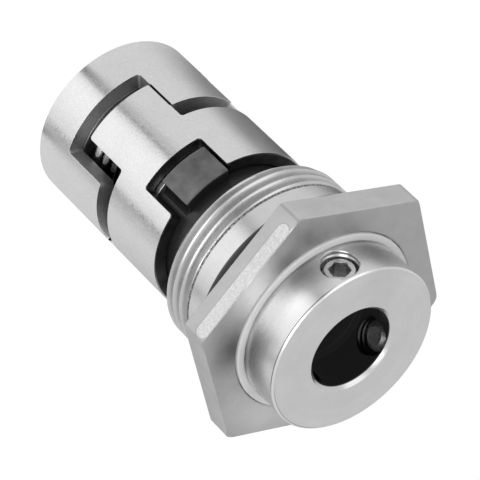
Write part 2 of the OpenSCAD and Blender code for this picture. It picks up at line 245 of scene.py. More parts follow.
class ShaderTree:
    """Builds the nodes of one material."""

    def __init__(self, name: str) -> None:
        """Makes an empty material with a Principled shader.

        Args:
            name: The material's name.
        """
        self.material = bpy.data.materials.new(name)
        self.material.use_nodes = True
        self.nodes = self.material.node_tree.nodes
        self.links = self.material.node_tree.links
        self.nodes.clear()
        self.output = self.add("ShaderNodeOutputMaterial", {}, {})
        self.shader = self.add("ShaderNodeBsdfPrincipled", {}, {})
        self.feed(self.output.inputs[0], Value(self, self.shader.outputs[0]))

    def add(
        self,
        kind: str,
        settings: Mapping[str, object],
        inputs: Mapping[int | str, object],
    ) -> bpy.types.Node:
        """Adds a node.

        Args:
            kind: The node's type.
            settings: Its properties, set before the inputs.
            inputs: Values or links of its sockets.

        Returns:
            The node.
        """
        made = self.nodes.new(kind)
        for name, value in settings.items():
            setattr(made, name, value)
        for key, value in inputs.items():
            self.feed(made.inputs[key], value)
        return made

    def node(
        self,
        kind: str,
        settings: Mapping[str, object],
        inputs: Mapping[int | str, object],
        output: int | str = 0,
    ) -> Value:
        """Adds a node and picks one of its outputs.

        Args:
            kind: The node's type.
            settings: Its properties, set before the inputs.
            inputs: Values or links of its sockets.
            output: Which output to return.

        Returns:
            The chosen output.
        """
        return Value(self, self.add(kind, settings, inputs).outputs[output])

    def feed(self, socket: bpy.types.NodeSocket, value: object) -> None:
        """Links a value to a socket, or sets the socket.

        Args:
            socket: The input socket.
            value: A Value, a number or a colour.
        """
        if isinstance(value, Value):
            self.links.new(value.socket, socket)
        else:
            socket.default_value = value

    def set(self, **inputs: object) -> None:
        """Sets the Principled shader's sockets, written with underscores for spaces.

        Args:
            inputs: The value or link of each socket.
        """
        for name, value in inputs.items():
            self.feed(self.shader.inputs[name.replace("_", " ").title()], value)

    @cached_property
    def point(self) -> Value:
        """The place on the object, in metres."""
        return self.node("ShaderNodeTexCoord", {}, {}, "Object")

    @cached_property
    def axes(self) -> tuple[Value, Value, Value]:
        """The place's x, y and z, in millimetres."""
        split = self.add("ShaderNodeSeparateXYZ", {}, {0: self.point})
        x, y, z = (Value(self, out) * (1 / MM) for out in split.outputs)
        return x, y, z

    @cached_property
    def height(self) -> Value:
        """The height, in millimetres."""
        return self.axes[2]

    @cached_property
    def azimuth(self) -> Value:
        """The angle round the shaft, in degrees."""
        return self.axes[1].apply("ARCTAN2", self.axes[0]) * math.degrees(1)

    @cached_property
    def radius(self) -> Value:
        """The distance from the shaft's axis, in millimetres."""
        x, y, _ = self.axes
        return (x * x + y * y).root()

    @cached_property
    def lathe(self) -> Value:
        """Radius and height as a place, on which a pattern runs in rings."""
        places = {0: self.radius * MM, 1: self.height * MM, 2: 0.0}
        return self.node("ShaderNodeCombineXYZ", {}, places)

    def noise(self, grain: Grain, place: Value | None = None) -> Value:
        """Adds a noise pattern.

        Args:
            grain: The pattern.
            place: Where it is read, or None for the place on the object.

        Returns:
            The pattern, from 0 to 1.
        """
        inputs = {
            "Vector": self.point if place is None else place,
            "Scale": 1 / (grain.size * MM),
            "Detail": grain.detail,
            "Roughness": grain.rough,
        }
        return self.node("ShaderNodeTexNoise", {}, inputs, "Fac")

    def grey(self, level: Value) -> Value:
        """Turns a number into a neutral colour."""
        return self.node("ShaderNodeCombineColor", {}, {0: level, 1: level, 2: level})

    def darkening(self, zones: "Sequence[Zone]") -> Value:
        """Adds up how much some zones darken, of which there is at least one."""
        first, *others = (zone.mask(self) * zone.depth for zone in zones)
        return sum(others, first)

    def relief(self, height: Value, depth: float, under: Value | None = None) -> Value:
        """Adds a bump.

        Args:
            height: The pattern, from 0 to 1.
            depth: What 1 stands for, in millimetres.
            under: A bump that this one is laid over.

        Returns:
            The normal.
        """
        inputs: dict[int | str, object] = {
            "Height": height,
            "Distance": depth * MM,
            "Strength": 1.0,
        }
        if under is not None:
            inputs["Normal"] = under
        return self.node("ShaderNodeBump", {}, inputs)


@dataclass(frozen=True)
class Zone:
    """A part of a surface with soft ends, where every one of its eases is 1.

    Attributes:
        radius: Eases along the radius, in millimetres.
        height: Eases along the height, in millimetres.
        azimuth: Eases round the shaft, in degrees.
        depth: How much it darkens, or brightens where it lies below zero.
    """

    radius: tuple[Ease, ...] = ()
    height: tuple[Ease, ...] = ()
    azimuth: tuple[Ease, ...] = ()
    depth: float = 1.0

    def mask(self, tree: ShaderTree) -> Value:
        """Multiplies its eases.

        Args:
            tree: The tree that the nodes go to.

        Returns:
            1 in the zone and 0 outside it.
        """
        steps = [tree.radius.step(*ease) for ease in self.radius]
        steps += [tree.height.step(*ease) for ease in self.height]
        steps += [tree.azimuth.step(*ease) for ease in self.azimuth]
        return math.prod(steps[1:], start=steps[0])


def around(middle: float, half: float, flat: float = 0.0) -> tuple[Ease, Ease]:
    """Lays two eases round a middle.

    Args:
        middle: Where the zone is fullest.
        half: Distance from there at which it ends.
        flat: Distance from there up to which it is full.

    Returns:
        The rising ease and the falling one.
    """
    return (middle - half, middle - flat), (middle + half, middle + flat)


@dataclass(frozen=True)
class Streak:
    """A thin dark line along the axis, a painted reflection of a dark border in the surroundings.

    Attributes:
        azimuth: Its angle round the shaft.
        width: Its half width, in degrees.
        depth: How much it darkens.
    """

    azimuth: float
    width: float
    depth: float


@dataclass(frozen=True)
class BlastedSteel:
    """Finely blasted stainless steel of the cup and the drive ring.

    Attributes:
        fine: The blasted grain.
        broad: The dull clouds.
        speckle: The specks.
        streaks: Dark lines down the outside, painted reflections of dark borders in the
            surroundings.
        ragged: How far the specks push a streak's edges, in degrees.
        streak_mix: A streak's steady part, and what clouds and specks add to it.
        seam: Angle of the first dark line, painted shade in the gap where a tab stands against
            its slot.
        seam_half: The line's ease across, from its middle, in degrees.
        seam_z: The line's eases at its foot and at its top.
        seam_depth: How much the line darkens.
        inside: The ease from the outside to the inside, along the radius, where the inside is
            painted darker as shade.
        inner_level: How light the painted shade of the inside is in the cup.
        inner_fall: How much darker that painted shade is in the drive ring.
        inner_z: The ease between the two.
        inner_clouded: How much the clouds change it.
        inner_rough: Roughness that the inside adds.
    """

    level: float = 0.83
    roughness: float = 0.24
    fine: Grain = Grain(0.28, 3.0)
    broad: Grain = Grain(3.5, 3.0, 0.55)
    speckle: Grain = Grain(0.32)
    relief: float = 0.03
    clouded: float = 0.10
    specked: float = 0.18
    rough_clouded: float = 0.12
    rough_fine: float = 0.10
    streaks: tuple[Streak, ...] = (Streak(-96.0, 2.8, 0.24), Streak(-56.0, 6.0, 0.30))
    ragged: float = 6.0
    streak_mix: tuple[float, float, float] = (0.35, 0.9, 3.0)
    seam: float = -0.3
    seam_half: Ease = (1.05, 0.75)
    seam_z: tuple[Ease, Ease] = ((8.9, 9.1), (14.1, 14.0))
    seam_depth: float = 0.93
    inside: Ease = (12.28, 12.1)
    inner_level: float = 0.56
    inner_fall: float = 0.48
    inner_z: Ease = (19.6, 20.5)
    inner_clouded: float = 0.3
    inner_rough: float = 0.22

    def material(self) -> bpy.types.Material:
        """Makes the material.

        Returns:
            The material.
        """
        tree = ShaderTree("blasted_steel")
        fine = tree.noise(self.fine)
        broad = tree.noise(self.broad)
        speckle = tree.noise(self.speckle)
        level = self.level + broad.swing(self.clouded) + speckle.swing(self.specked)
        steady, by_cloud, by_speck = self.streak_mix
        strength = steady + broad * by_cloud + speckle.swing(by_speck)
        # Painted reflection: thin dark lines where dark borders of the surroundings would be
        # mirrored.
        for streak in self.streaks:
            away = (tree.azimuth - streak.azimuth + speckle.swing(self.ragged)).size()
            level = level - away.step(streak.width, 0.0) * streak.depth * strength
        # Painted shade: a dark line in the narrow gap where each tab stands against its slot.
        seam = tree.azimuth.past(self.seam, DOG_PITCH).size().step(*self.seam_half)
        seam = seam * Zone(height=self.seam_z).mask(tree)
        clear = 1 - seam * self.seam_depth
        # Painted shade: the inside and the notches' walls are painted darker, the drive ring's
        # most.
        inside = tree.radius.step(*self.inside)
        shade = self.inner_level - tree.height.step(*self.inner_z) * self.inner_fall
        shade = shade + broad.swing(self.inner_clouded)
        level = (level * (1 - inside) + shade * inside) * clear
        rough = self.roughness + broad.swing(self.rough_clouded) + fine.swing(self.rough_fine)
        tree.set(
            base_color=tree.grey(level),
            metallic=1.0,
            roughness=rough + inside * self.inner_rough,
            normal=tree.relief(fine, self.relief),
        )
        return tree.material


@dataclass(frozen=True)
class TurnedSteel:
    """Steel with the fine rings that a lathe tool leaves.

    Attributes:
        name: The material's name.
        feed: Distance between the tool's rings, in millimetres.
        bands: Width of the broader rings, in feeds.
        pit: The pattern whose peaks are pits.
        pit_cut: The ease into a pit.
        shaded: The ease into the painted shade in the bore, along the radius.
        bore_shade_dark: How much of the light the painted shade takes.
        bore_shade_dull: How much less metallic the shaded bore is.
        bore_glow: Strength of a faint painted glow in the shaded bore.
    """

    name: str = "turned_steel"
    level: float = 0.70
    roughness: float = 0.30
    feed: float = 0.09
    clouded: float = 0.10
    bands: float = 7.0
    banded: float = 0.07
    cloud: Grain = Grain(4.2, 3.0, 0.5)
    pit: Grain = Grain(0.25)
    pit_cut: Ease = (0.69, 0.76)
    pitted: float = 0.10
    rough_clouded: float = 0.16
    rough_ringed: float = 0.12
    ring_depth: float = 0.0035
    band_depth: float = 0.004
    shaded: Ease = (6.12, 6.04)
    bore_shade_dark: float = 0.97
    bore_shade_dull: float = 0.5
    bore_glow: float = 0.0078

    def material(self) -> bpy.types.Material:
        """Makes the material.

        Returns:
            The material.
        """
        tree = ShaderTree(self.name)
        rings = tree.noise(Grain(self.feed), tree.lathe)
        wide = tree.noise(Grain(self.feed * self.bands, rough=0.5), tree.lathe)
        cloud = tree.noise(self.cloud)
        pits = tree.noise(self.pit).step(*self.pit_cut)
        # Painted shade: the bore is painted near black and less metallic, with a faint painted
        # glow.
        shaded = tree.radius.step(*self.shaded)
        level = self.level + cloud.swing(self.clouded) + wide.swing(self.banded)
        level = (level - pits * self.pitted) * (1 - shaded * self.bore_shade_dark)
        rough = self.roughness + cloud.swing(self.rough_clouded) + rings.swing(self.rough_ringed)
        tree.set(
            base_color=tree.grey(self.marked(tree, level, wide)),
            metallic=1 - shaded * self.bore_shade_dull,
            roughness=rough,
            normal=tree.relief(rings, self.ring_depth, tree.relief(wide, self.band_depth)),
            emission_color=tree.grey(shaded * self.bore_glow),
            emission_strength=1.0,
        )
        return tree.material

    def marked(self, tree: ShaderTree, level: Value, wide: Value) -> Value:
        """Lays a piece's own marks over its lightness, of which plain pieces have none.

        Args:
            tree: The tree that the nodes go to. Not used here.
            level: The lightness.
            wide: The broader rings. Not used here.

        Returns:
            The marked lightness.
        """
        return level


@dataclass(frozen=True)
class CollarSteel(TurnedSteel):
    """Turned steel of the collar, with painted shade in its holes and at its base, painted
    reflections at its upper edge, and patches on its side.

    Attributes:
        holes: The walls of the tapped holes, painted darker inwards as shade.
        edge: A dark line along the front of the upper edge, a painted reflection.
        marks_and_shading: A painted dark reflection on the face beside the chamfer, a painted
            highlight on the chamfer, painted shade at the base, and darker and lighter patches on
            the side.
    """

    name: str = "collar_steel"
    level: float = 0.83
    roughness: float = 0.26
    feed: float = 0.10
    clouded: float = 0.14
    holes: tuple[Zone, ...] = (
        Zone(((12.25, 11.0),), ((54.2, 54.1), (48.8, 48.9)), depth=0.3),
        Zone(((9.0, 7.0),), ((54.2, 54.1), (48.8, 48.9)), depth=0.62),
    )
    edge: Zone = Zone(((12.3, 12.4),), around(54.49, 0.12), around(-68.0, 44.0, 30.0), 0.5)
    marks_and_shading: tuple[Zone, ...] = (
        # Painted reflection: a dark line on the face beside the chamfer.
        Zone(around(12.18, 0.09), ((54.7, 54.75),), around(0.0, 38.0, 22.0), 0.4),
        # Painted highlight along the chamfer.
        Zone(((12.24, 12.3),), ((54.54, 54.6),), depth=-0.17),
        # Painted shade round the base, next to the white ring.
        Zone(((12.3, 12.4),), ((49.5, 48.7), (48.5, 48.6)), depth=0.34),
        # Darker and lighter patches round the side.
        Zone(height=around(50.0, 4.2), azimuth=around(-34.0, 20.0), depth=0.42),
        Zone(height=around(49.8, 3.4), azimuth=around(-104.0, 18.0), depth=0.34),
        Zone(height=around(51.0, 5.0), azimuth=around(-148.0, 26.0), depth=0.40),
        Zone(height=around(52.2, 3.4), azimuth=around(-88.0, 16.0), depth=-0.16),
    )

    def marked(self, tree: ShaderTree, level: Value, wide: Value) -> Value:
        """Lays the collar's patches, painted shade and painted reflections over its lightness.

        Args:
            tree: The tree that the nodes go to.
            level: The lightness.
            wide: The broader rings, which break up the line along the edge.

        Returns:
            The marked lightness.
        """
        # Painted shade: the tapped holes' walls darken the deeper they go.
        level = level * (1 - tree.darkening(self.holes))
        # Painted reflection: a dark line along the front of the upper edge, broken up by the
        # rings.
        level = level - tree.darkening([self.edge]) * (1 + wide)
        # Painted reflections and highlight at the upper edge, painted shade at the base, and
        # patches on the side.
        return level - tree.darkening(self.marks_and_shading)


@dataclass(frozen=True)
class GlandSteel:
    """Steel of the gland: turned neck and face, and grainy sawn flats.

    Attributes:
        feed: Distance between the tool's rings, in millimetres.
        hexagon_z: Heights of the hexagon's underside and face.
        face_from: Radius from which the face slopes down.
        face_slope: How far it falls for each millimetre of radius.
        face_ease: The ease into the face, from its height.
        patches: Dull or bright patches of the face.
        flat_radius: The ease into the flats, along the radius.
        flat_ease: The ease into the flats, from the underside.
        first_flat: Angle of one flat's middle.
        strongest_flat: Angle of the flat that is darkest and carries the grainy band most.
        strongest_half: The ease into it from its sides, in degrees from its middle.
        other_flats_share: How much of that the other flats get.
        band_z: Height of the grainy band's middle.
        band_half: Half length of its core, and how far it spreads up and down.
        band_offset: How far its middle lies past the flat's.
        band_ease: The ease into it.
        band_light: How much it brightens.
        band_gritty: How much the grit changes that.
        line_half: Half width of the line round it.
        relief_z: Heights between which the relief behind the thread lies.
        relief_rise: The ease into it, from its foot.
        relief_fall: The ease out of it, from its top.
        relief_grit_cut: The ease of the grit into the relief's darker patches.
        relief_least: How much of that darkening the relief keeps where there is no grit.
        flank: The ease into the thread's flanks, along the radius, which are painted darker as
            shade.
        flank_drop: Distance below the relief at which the flanks are full.
    """

    level: float = 0.78
    roughness: float = 0.26
    feed: float = 0.08
    ring_depth: float = 0.004
    cloud: Grain = Grain(3.2, 4.0, 0.55)
    mottle: Grain = Grain(1.0, 3.0)
    grit: Grain = Grain(0.26, 3.0, 0.65)
    grit_depth: float = 0.05
    clouded: float = 0.20
    mottled: float = 0.08
    rough_clouded: float = 0.16
    hexagon_z: tuple[float, float] = (44.3, 48.3)
    face_from: float = 19.25
    face_slope: float = 0.53
    face_ease: Ease = (-0.06, -0.02)
    face_dark: float = 0.23
    face_clouded: float = 0.10
    face_rough: float = 0.17
    patches: tuple[Zone, ...] = (
        Zone(around(14.4, 4.6), azimuth=around(-42.0, 22.0), depth=0.32),
        Zone(around(14.2, 3.0), azimuth=around(-97.0, 16.0), depth=0.16),
        Zone(around(15.0, 5.0), azimuth=around(18.0, 42.0), depth=-0.20),
    )
    flat_radius: Ease = (17.0, 17.05)
    flat_ease: Ease = (-0.1, 0.0)
    flat_dark: float = 0.06
    flat_rough: float = 0.10
    first_flat: float = 39.6
    strongest_flat: float = -80.4
    strongest_half: Ease = (31.0, 28.0)
    other_flats_share: float = 0.15
    strongest_dark: float = 0.20
    band_z: float = 47.25
    band_half: tuple[float, float] = (8.0, 1.0)
    band_offset: float = 0.7
    band_ease: Ease = (1.04, 0.9)
    band_light: float = 0.26
    band_gritty: float = 0.62
    band_rough: float = 0.12
    line_half: float = 0.09
    line_dark: float = 0.10
    relief_z: tuple[float, float] = (37.5, 37.85)
    relief_rise: Ease = (-0.06, 0.04)
    relief_fall: Ease = (0.08, -0.02)
    relief_grit_cut: Ease = (0.38, 0.58)
    relief_least: float = 0.3
    relief_dark: float = 0.60
    relief_rough: float = 0.3
    flank: Ease = (13.9, 13.5)
    flank_drop: float = 0.2
    flank_dark: float = 0.12
    flank_mottled: float = 0.2

    def material(self) -> bpy.types.Material:
        """Makes the material.

        Returns:
            The material.
        """
        tree = ShaderTree("gland_steel")
        rings = tree.noise(Grain(self.feed), tree.lathe)
        cloud = tree.noise(self.cloud)
        mottle = tree.noise(self.mottle)
        grit = tree.noise(self.grit)
        on_face = self.on_face(tree)
        on_flat = tree.radius.step(*self.flat_radius) * (1 - on_face)
        on_flat = on_flat * (tree.height - self.hexagon_z[0]).step(*self.flat_ease)
        # One flat is darkest and carries the grainy band most; the others get a share of that.
        flat_weight = (tree.azimuth - self.strongest_flat).size().step(*self.strongest_half)
        flat_weight = flat_weight * (1 - self.other_flats_share) + self.other_flats_share
        band = self.band(tree)
        grain = band.step(*self.band_ease) * on_flat
        line = band.bump(self.band_ease[0], self.line_half) * on_flat
        # The relief behind the thread is darker and rougher, in gritty patches.
        relief_mark = self.in_relief(tree)
        relief_mark = relief_mark * (grit.step(*self.relief_grit_cut) * (1 - self.relief_least) + self.relief_least)
        foot = self.relief_z[0]
        flank = tree.radius.step(*self.flank) * tree.height.step(foot, foot - self.flank_drop)

        level = self.level + cloud.swing(self.clouded) + mottle.swing(self.mottled)
        # Painted shade: the thread's flanks are painted darker than its crests.
        level = level - flank * (self.flank_dark + mottle * self.flank_mottled)
        level = level - on_flat * (self.flat_dark + flat_weight * self.strongest_dark)
        level = level + grain * flat_weight * (grit.swing(self.band_gritty) + self.band_light)
        level = level - line * flat_weight * self.line_dark - relief_mark * self.relief_dark
        dull = self.face_dark + cloud.swing(self.face_clouded) + tree.darkening(self.patches)
        rough = self.roughness + cloud.swing(self.rough_clouded) + on_flat * self.flat_rough
        rough = rough + grain * self.band_rough + relief_mark * self.relief_rough
        turned = tree.relief(rings, self.ring_depth)
        tree.set(
            base_color=tree.grey(level - on_face * dull),
            metallic=1.0,
            roughness=rough + on_face * self.face_rough,
            normal=tree.relief(grit * (grain * flat_weight + relief_mark), self.grit_depth, turned),
        )
        return tree.material

    def on_face(self, tree: ShaderTree) -> Value:
        """Finds the hexagon's upper face, with the slope at its corners.

        Args:
            tree: The tree that the nodes go to.

        Returns:
            1 on the face and 0 elsewhere.
        """
        fallen = (tree.radius - self.face_from).at_least(0.0) * self.face_slope
        return (tree.height + fallen - self.hexagon_z[1]).step(*self.face_ease)

    def in_relief(self, tree: ShaderTree) -> Value:
        """Finds the relief behind the thread.

        Args:
            tree: The tree that the nodes go to.

        Returns:
            1 in the relief and 0 elsewhere.
        """
        foot, top = self.relief_z
        rise = (tree.height - foot).step(*self.relief_rise)
        return rise * (tree.height - top).step(*self.relief_fall)

    def band(self, tree: ShaderTree) -> Value:
        """Measures the distance from the core of the grainy band on each flat.

        Args:
            tree: The tree that the nodes go to.

        Returns:
            The distance, in millimetres.
        """
        half, spread = self.band_half
        along = tree.azimuth.past(self.first_flat, FLAT_PITCH).sine() * tree.radius
        along = ((along - self.band_offset).size() - half).at_least(0.0)
        up = (tree.height - self.band_z) / spread
        return (along * along + up * up).root()


@dataclass(frozen=True)
class PlainFinish:
    """A finish with one broad and one fine pattern.

    Attributes:
        name: The material's name.
        colour: Its base colour.
        mottle: How much the colour varies.
        broad: The broad pattern.
        fine: The fine pattern.
    """

    name: str
    colour: tuple[float, float, float]
    roughness: float
    mottle: float
    broad: Grain
    fine: Grain
    depth: float = 0.004
    rough_clouded: float = 0.18

    def material(self) -> bpy.types.Material:
        """Makes the material.

        Returns:
            The material.
        """
        tree = ShaderTree(self.name)
        broad = tree.noise(self.broad)
        fine = tree.noise(self.fine)
        shade = 1 + broad.swing(2 * self.mottle) + fine.swing(self.mottle)
        parts = {index: shade * part for index, part in enumerate(self.colour)}
        tree.set(
            base_color=tree.node("ShaderNodeCombineColor", {}, parts),
            metallic=0.0,
            roughness=self.roughness + broad.swing(self.rough_clouded),
            normal=tree.relief(fine, self.depth),
        )
        return tree.material


@dataclass(frozen=True)
class Carbon:
    """Lapped carbon of the seal ring and the seat, with dull clouds.

    Attributes:
        smear: Broader smears.
        crown_radius: The ease into the lugs' outsides.
        crown: How much lighter those are, a painted reflection of the bright floor.
        crown_mix: How much clouds, smears and grain change them.
        crown_polish: How much smoother they are.
    """

    level: float = 0.014
    roughness: float = 0.34
    cloud: Grain = Grain(1.7, 4.0)
    smear: Grain = Grain(3.4, 2.0, 0.5)
    fine: Grain = Grain(0.16)
    fine_depth: float = 0.0025
    grainy: float = 0.006
    rough_clouded: float = 0.2
    crown_radius: Ease = (11.7, 12.0)
    crown: float = 0.115
    crown_mix: tuple[float, float, float] = (0.12, 0.16, 0.02)
    crown_polish: float = 0.10

    def material(self) -> bpy.types.Material:
        """Makes the material.

        Returns:
            The material.
        """
        tree = ShaderTree("carbon")
        cloud = tree.noise(self.cloud)
        smear = tree.noise(self.smear)
        fine = tree.noise(self.fine)
        crown = tree.radius.step(*self.crown_radius)
        by_cloud, by_smear, by_grain = self.crown_mix
        shade = cloud.swing(by_cloud) + smear.swing(by_smear) + fine.swing(by_grain)
        # Painted reflection: the lugs' outsides are painted lighter; they are also really
        # smoother.
        level = self.level + fine.swing(self.grainy) + crown * (self.crown + shade)
        rough = self.roughness - crown * self.crown_polish + cloud.swing(self.rough_clouded)
        normal = tree.relief(fine, self.fine_depth)
        tree.set(base_color=tree.grey(level), roughness=rough, normal=normal)
        return tree.material


@dataclass(frozen=True)
class SpringSteel:
    """Drawn spring wire, with painted shade that darkens it towards the drive ring.

    Attributes:
        dark: How light it is in the painted shade.
        shaded: The ease into the painted shade, along the height.
    """

    level: float = 0.60
    dark: float = 0.05
    shaded: Ease = (9.4, 11.0)
    roughness: float = 0.2
    cloud: Grain = Grain(2.0, 3.0, 0.55)
    fine: Grain = Grain(0.12, 2.0, 0.55)
    fine_depth: float = 0.004
    clouded: float = 0.15
    rough_clouded: float = 0.12

    def material(self) -> bpy.types.Material:
        """Makes the material.

        Returns:
            The material.
        """
        tree = ShaderTree("spring_steel")
        cloud = tree.noise(self.cloud)
        # Painted shade: the coils darken towards the drive ring, inside the parts round them.
        shaded = tree.height.step(*self.shaded)
        level = self.level + cloud.swing(self.clouded) - shaded * (self.level - self.dark)
        tree.set(
            base_color=tree.grey(level),
            metallic=1.0,
            roughness=self.roughness + cloud.swing(self.rough_clouded),
            normal=tree.relief(tree.noise(self.fine), self.fine_depth),
        )
        return tree.material


@dataclass(frozen=True)
class ScrewSteel:
    """Steel of the set screws, with painted shade down in the hole, in the socket and at the tip.

    Attributes:
        level: How light the screw's end is.
        depths: How light it is down in the hole and the socket, in the painted shade.
        tip: How light the tip is, painted dark as shade in the bore.
        lit_end: The ease into the end, along the radius.
        lit_tip: The ease into the tip, along the radius.
        tip_dull: How much less metallic the tip is.
    """

    level: float = 0.74
    depths: float = 0.50
    tip: float = 0.2
    lit_end: Ease = (11.0, 11.45)
    lit_tip: Ease = (7.6, 7.2)
    tip_dull: float = 0.5
    roughness: float = 0.27
    cloud: Grain = Grain(0.8, 3.0, 0.55)
    fine: Grain = Grain(0.12)
    fine_depth: float = 0.005
    clouded: float = 0.2

    def material(self) -> bpy.types.Material:
        """Makes the material.

        Returns:
            The material.
        """
        tree = ShaderTree("screw_steel")
        cloud = tree.noise(self.cloud).swing(self.clouded)
        at_tip = tree.radius.step(*self.lit_tip)
        # Painted shade: darker in the socket and down the hole, and darkest at the tip in the
        # bore.
        level = self.depths + tree.radius.step(*self.lit_end) * (self.level - self.depths)
        level = level + at_tip * (self.tip - self.depths) + cloud
        tree.set(
            base_color=tree.grey(level),
            metallic=1 - at_tip * self.tip_dull,
            roughness=self.roughness + cloud,
            normal=tree.relief(tree.noise(self.fine), self.fine_depth),
        )
        return tree.material


Finish = BlastedSteel | TurnedSteel | GlandSteel | Carbon | SpringSteel | ScrewSteel | PlainFinish
RUBBER = PlainFinish(
    "rubber", (0.012, 0.012, 0.012), 0.38, 0.2, Grain(3.0, 3.0, 0.55), Grain(0.2, 2.0, 0.55)
)
PLASTIC = PlainFinish(
    "white_plastic", (0.82, 0.82, 0.815), 0.5, 0.03, Grain(2.0, 3.0, 0.55), Grain(0.3, 2.0, 0.55)
)


@dataclass
class Finishes:
    """One material for each slot, made when it is first asked for.

    Attributes:
        makers: The finish of each slot.
        made: The materials that were made so far.
    """

    makers: dict[Slot, Finish] = field(
        default_factory=lambda: {
            Slot.TURNED: TurnedSteel(),
            Slot.BLASTED: BlastedSteel(),
            Slot.COLLAR: CollarSteel(),
            Slot.GLAND: GlandSteel(),
            Slot.SCREW: ScrewSteel(),
            Slot.SPRING: SpringSteel(),
            Slot.CARBON: Carbon(),
            Slot.RUBBER: RUBBER,
            Slot.PLASTIC: PLASTIC,
        }
    )
    made: dict[Slot, bpy.types.Material] = field(default_factory=dict)

    def get(self, slot: Slot) -> bpy.types.Material:
        """Returns the slot's material.

        Args:
            slot: The slot.

        Returns:
            The material, made at the first call.
        """
        if slot not in self.made:
            self.made[slot] = self.makers[slot].material()
        return self.made[slot]


def polar(radius: float, angle: float) -> Point:
    """Turns a radius and an angle in radians into x and y."""
    return radius * math.cos(angle), radius * math.sin(angle)


def rounded(points: Sequence[Point], radius: float, segments: int = 3) -> list[Point]:
    """Rounds the corners of a closed outline.

    Args:
        points: The corners, in order.
        radius: The radius, made smaller where a side is short.
        segments: Straight pieces in each rounding.

    Returns:
        The outline's points.
    """
    least_turn = math.radians(5)
    side_share = 0.45
    result: list[Point] = []
    for index, corner in enumerate(points):
        here = Vector(corner)
        back = Vector(points[index - 1]) - here
        ahead = Vector(points[(index + 1) % len(points)]) - here
        turn = back.angle(ahead)
        if math.pi - turn < least_turn:
            result.append(tuple(here))
            continue
        longest = side_share * min(back.length, ahead.length)
        reach = min(radius / math.tan(turn / 2), longest)
        start = here + back.normalized() * reach
        end = here + ahead.normalized() * reach
        for step in range(segments + 1):
            share = step / segments
            near = start.lerp(here, share)
            far = here.lerp(end, share)
            result.append(tuple(near.lerp(far, share)))
    return result


def revolve(
    mesh: bmesh.types.BMesh, profile: Sequence[Point], steps: int, closed: bool = True
) -> None:
    """Turns a profile round the shaft's axis.

    Args:
        mesh: The mesh that it is added to.
        profile: Radius and height of each point.
        steps: Steps of the full turn.
        closed: Whether the last point joins the first.
    """
    verts = [mesh.verts.new((radius, 0, height)) for radius, height in profile]
    edges = [mesh.edges.new(pair) for pair in zip(verts, verts[1:])]
    if closed:
        edges.append(mesh.edges.new((verts[-1], verts[0])))
    spin(mesh, verts + edges, steps, 0.0, True)


def spin(
    mesh: bmesh.types.BMesh,
    shape: Sequence[bmesh.types.BMVert | bmesh.types.BMEdge | bmesh.types.BMFace],
    steps: int,
    rise: float,
    merge: bool = False,
) -> list[bmesh.types.BMVert | bmesh.types.BMEdge | bmesh.types.BMFace]:
    """Sweeps a shape once round the shaft's axis.

    Args:
        mesh: The mesh that the shape is in.
        shape: What is swept.
        steps: Steps of the full turn.
        rise: Height gained at each step.
        merge: Whether the end joins the start.

    Returns:
        The shape at the end of the sweep.
    """
    swept = bmesh.ops.spin(
        mesh,
        geom=shape,
        cent=(0, 0, 0),
        axis=(0, 0, 1),
        dvec=(0, 0, rise),
        angle=FULL_TURN,
        steps=steps,
        use_merge=merge,
    )
    return swept["geom_last"]


def extrude(
    mesh: bmesh.types.BMesh,
    faces: Sequence[bmesh.types.BMFace],
    way: tuple[float, float, float],
) -> None:
    """Gives faces a thickness.

    Args:
        mesh: The mesh that they are in.
        faces: The faces.
        way: The way that their copies move.
    """
    pushed = bmesh.ops.extrude_face_region(mesh, geom=faces)
    moved = [item for item in pushed["geom"] if isinstance(item, bmesh.types.BMVert)]
    bmesh.ops.translate(mesh, vec=way, verts=moved)


def weld(mesh: bmesh.types.BMesh) -> None:
    """Joins vertices that lie in one place and points the faces outwards.

    Args:
        mesh: The mesh.
    """
    bmesh.ops.remove_doubles(mesh, verts=mesh.verts[:], dist=WELD)
    bmesh.ops.recalc_face_normals(mesh, faces=mesh.faces[:])


def cone(low: float, high: float, depth: float, sides: int, stand: Matrix) -> bmesh.types.BMesh:
    """Makes a cone or a prism for a cut.

    Args:
        low: Radius of its lower end.
        high: Radius of its upper end.
        depth: Its height.
        sides: Its sides.
        stand: Where its middle stands.

    Returns:
        The solid.
    """
    mesh = bmesh.new()
    bmesh.ops.create_cone(
        mesh, cap_ends=True, segments=sides, radius1=low, radius2=high, depth=depth, matrix=stand
    )
    return mesh


def object_from(mesh: bmesh.types.BMesh, name: str) -> bpy.types.Object:
    """Turns a bmesh into a linked object and frees it.

    Args:
        mesh: The mesh.
        name: The object's name.

    Returns:
        The object.
    """
    data = bpy.data.meshes.new(name)
    mesh.to_mesh(data)
    mesh.free()
    made = bpy.data.objects.new(name, data)
    bpy.context.scene.collection.objects.link(made)
    return made


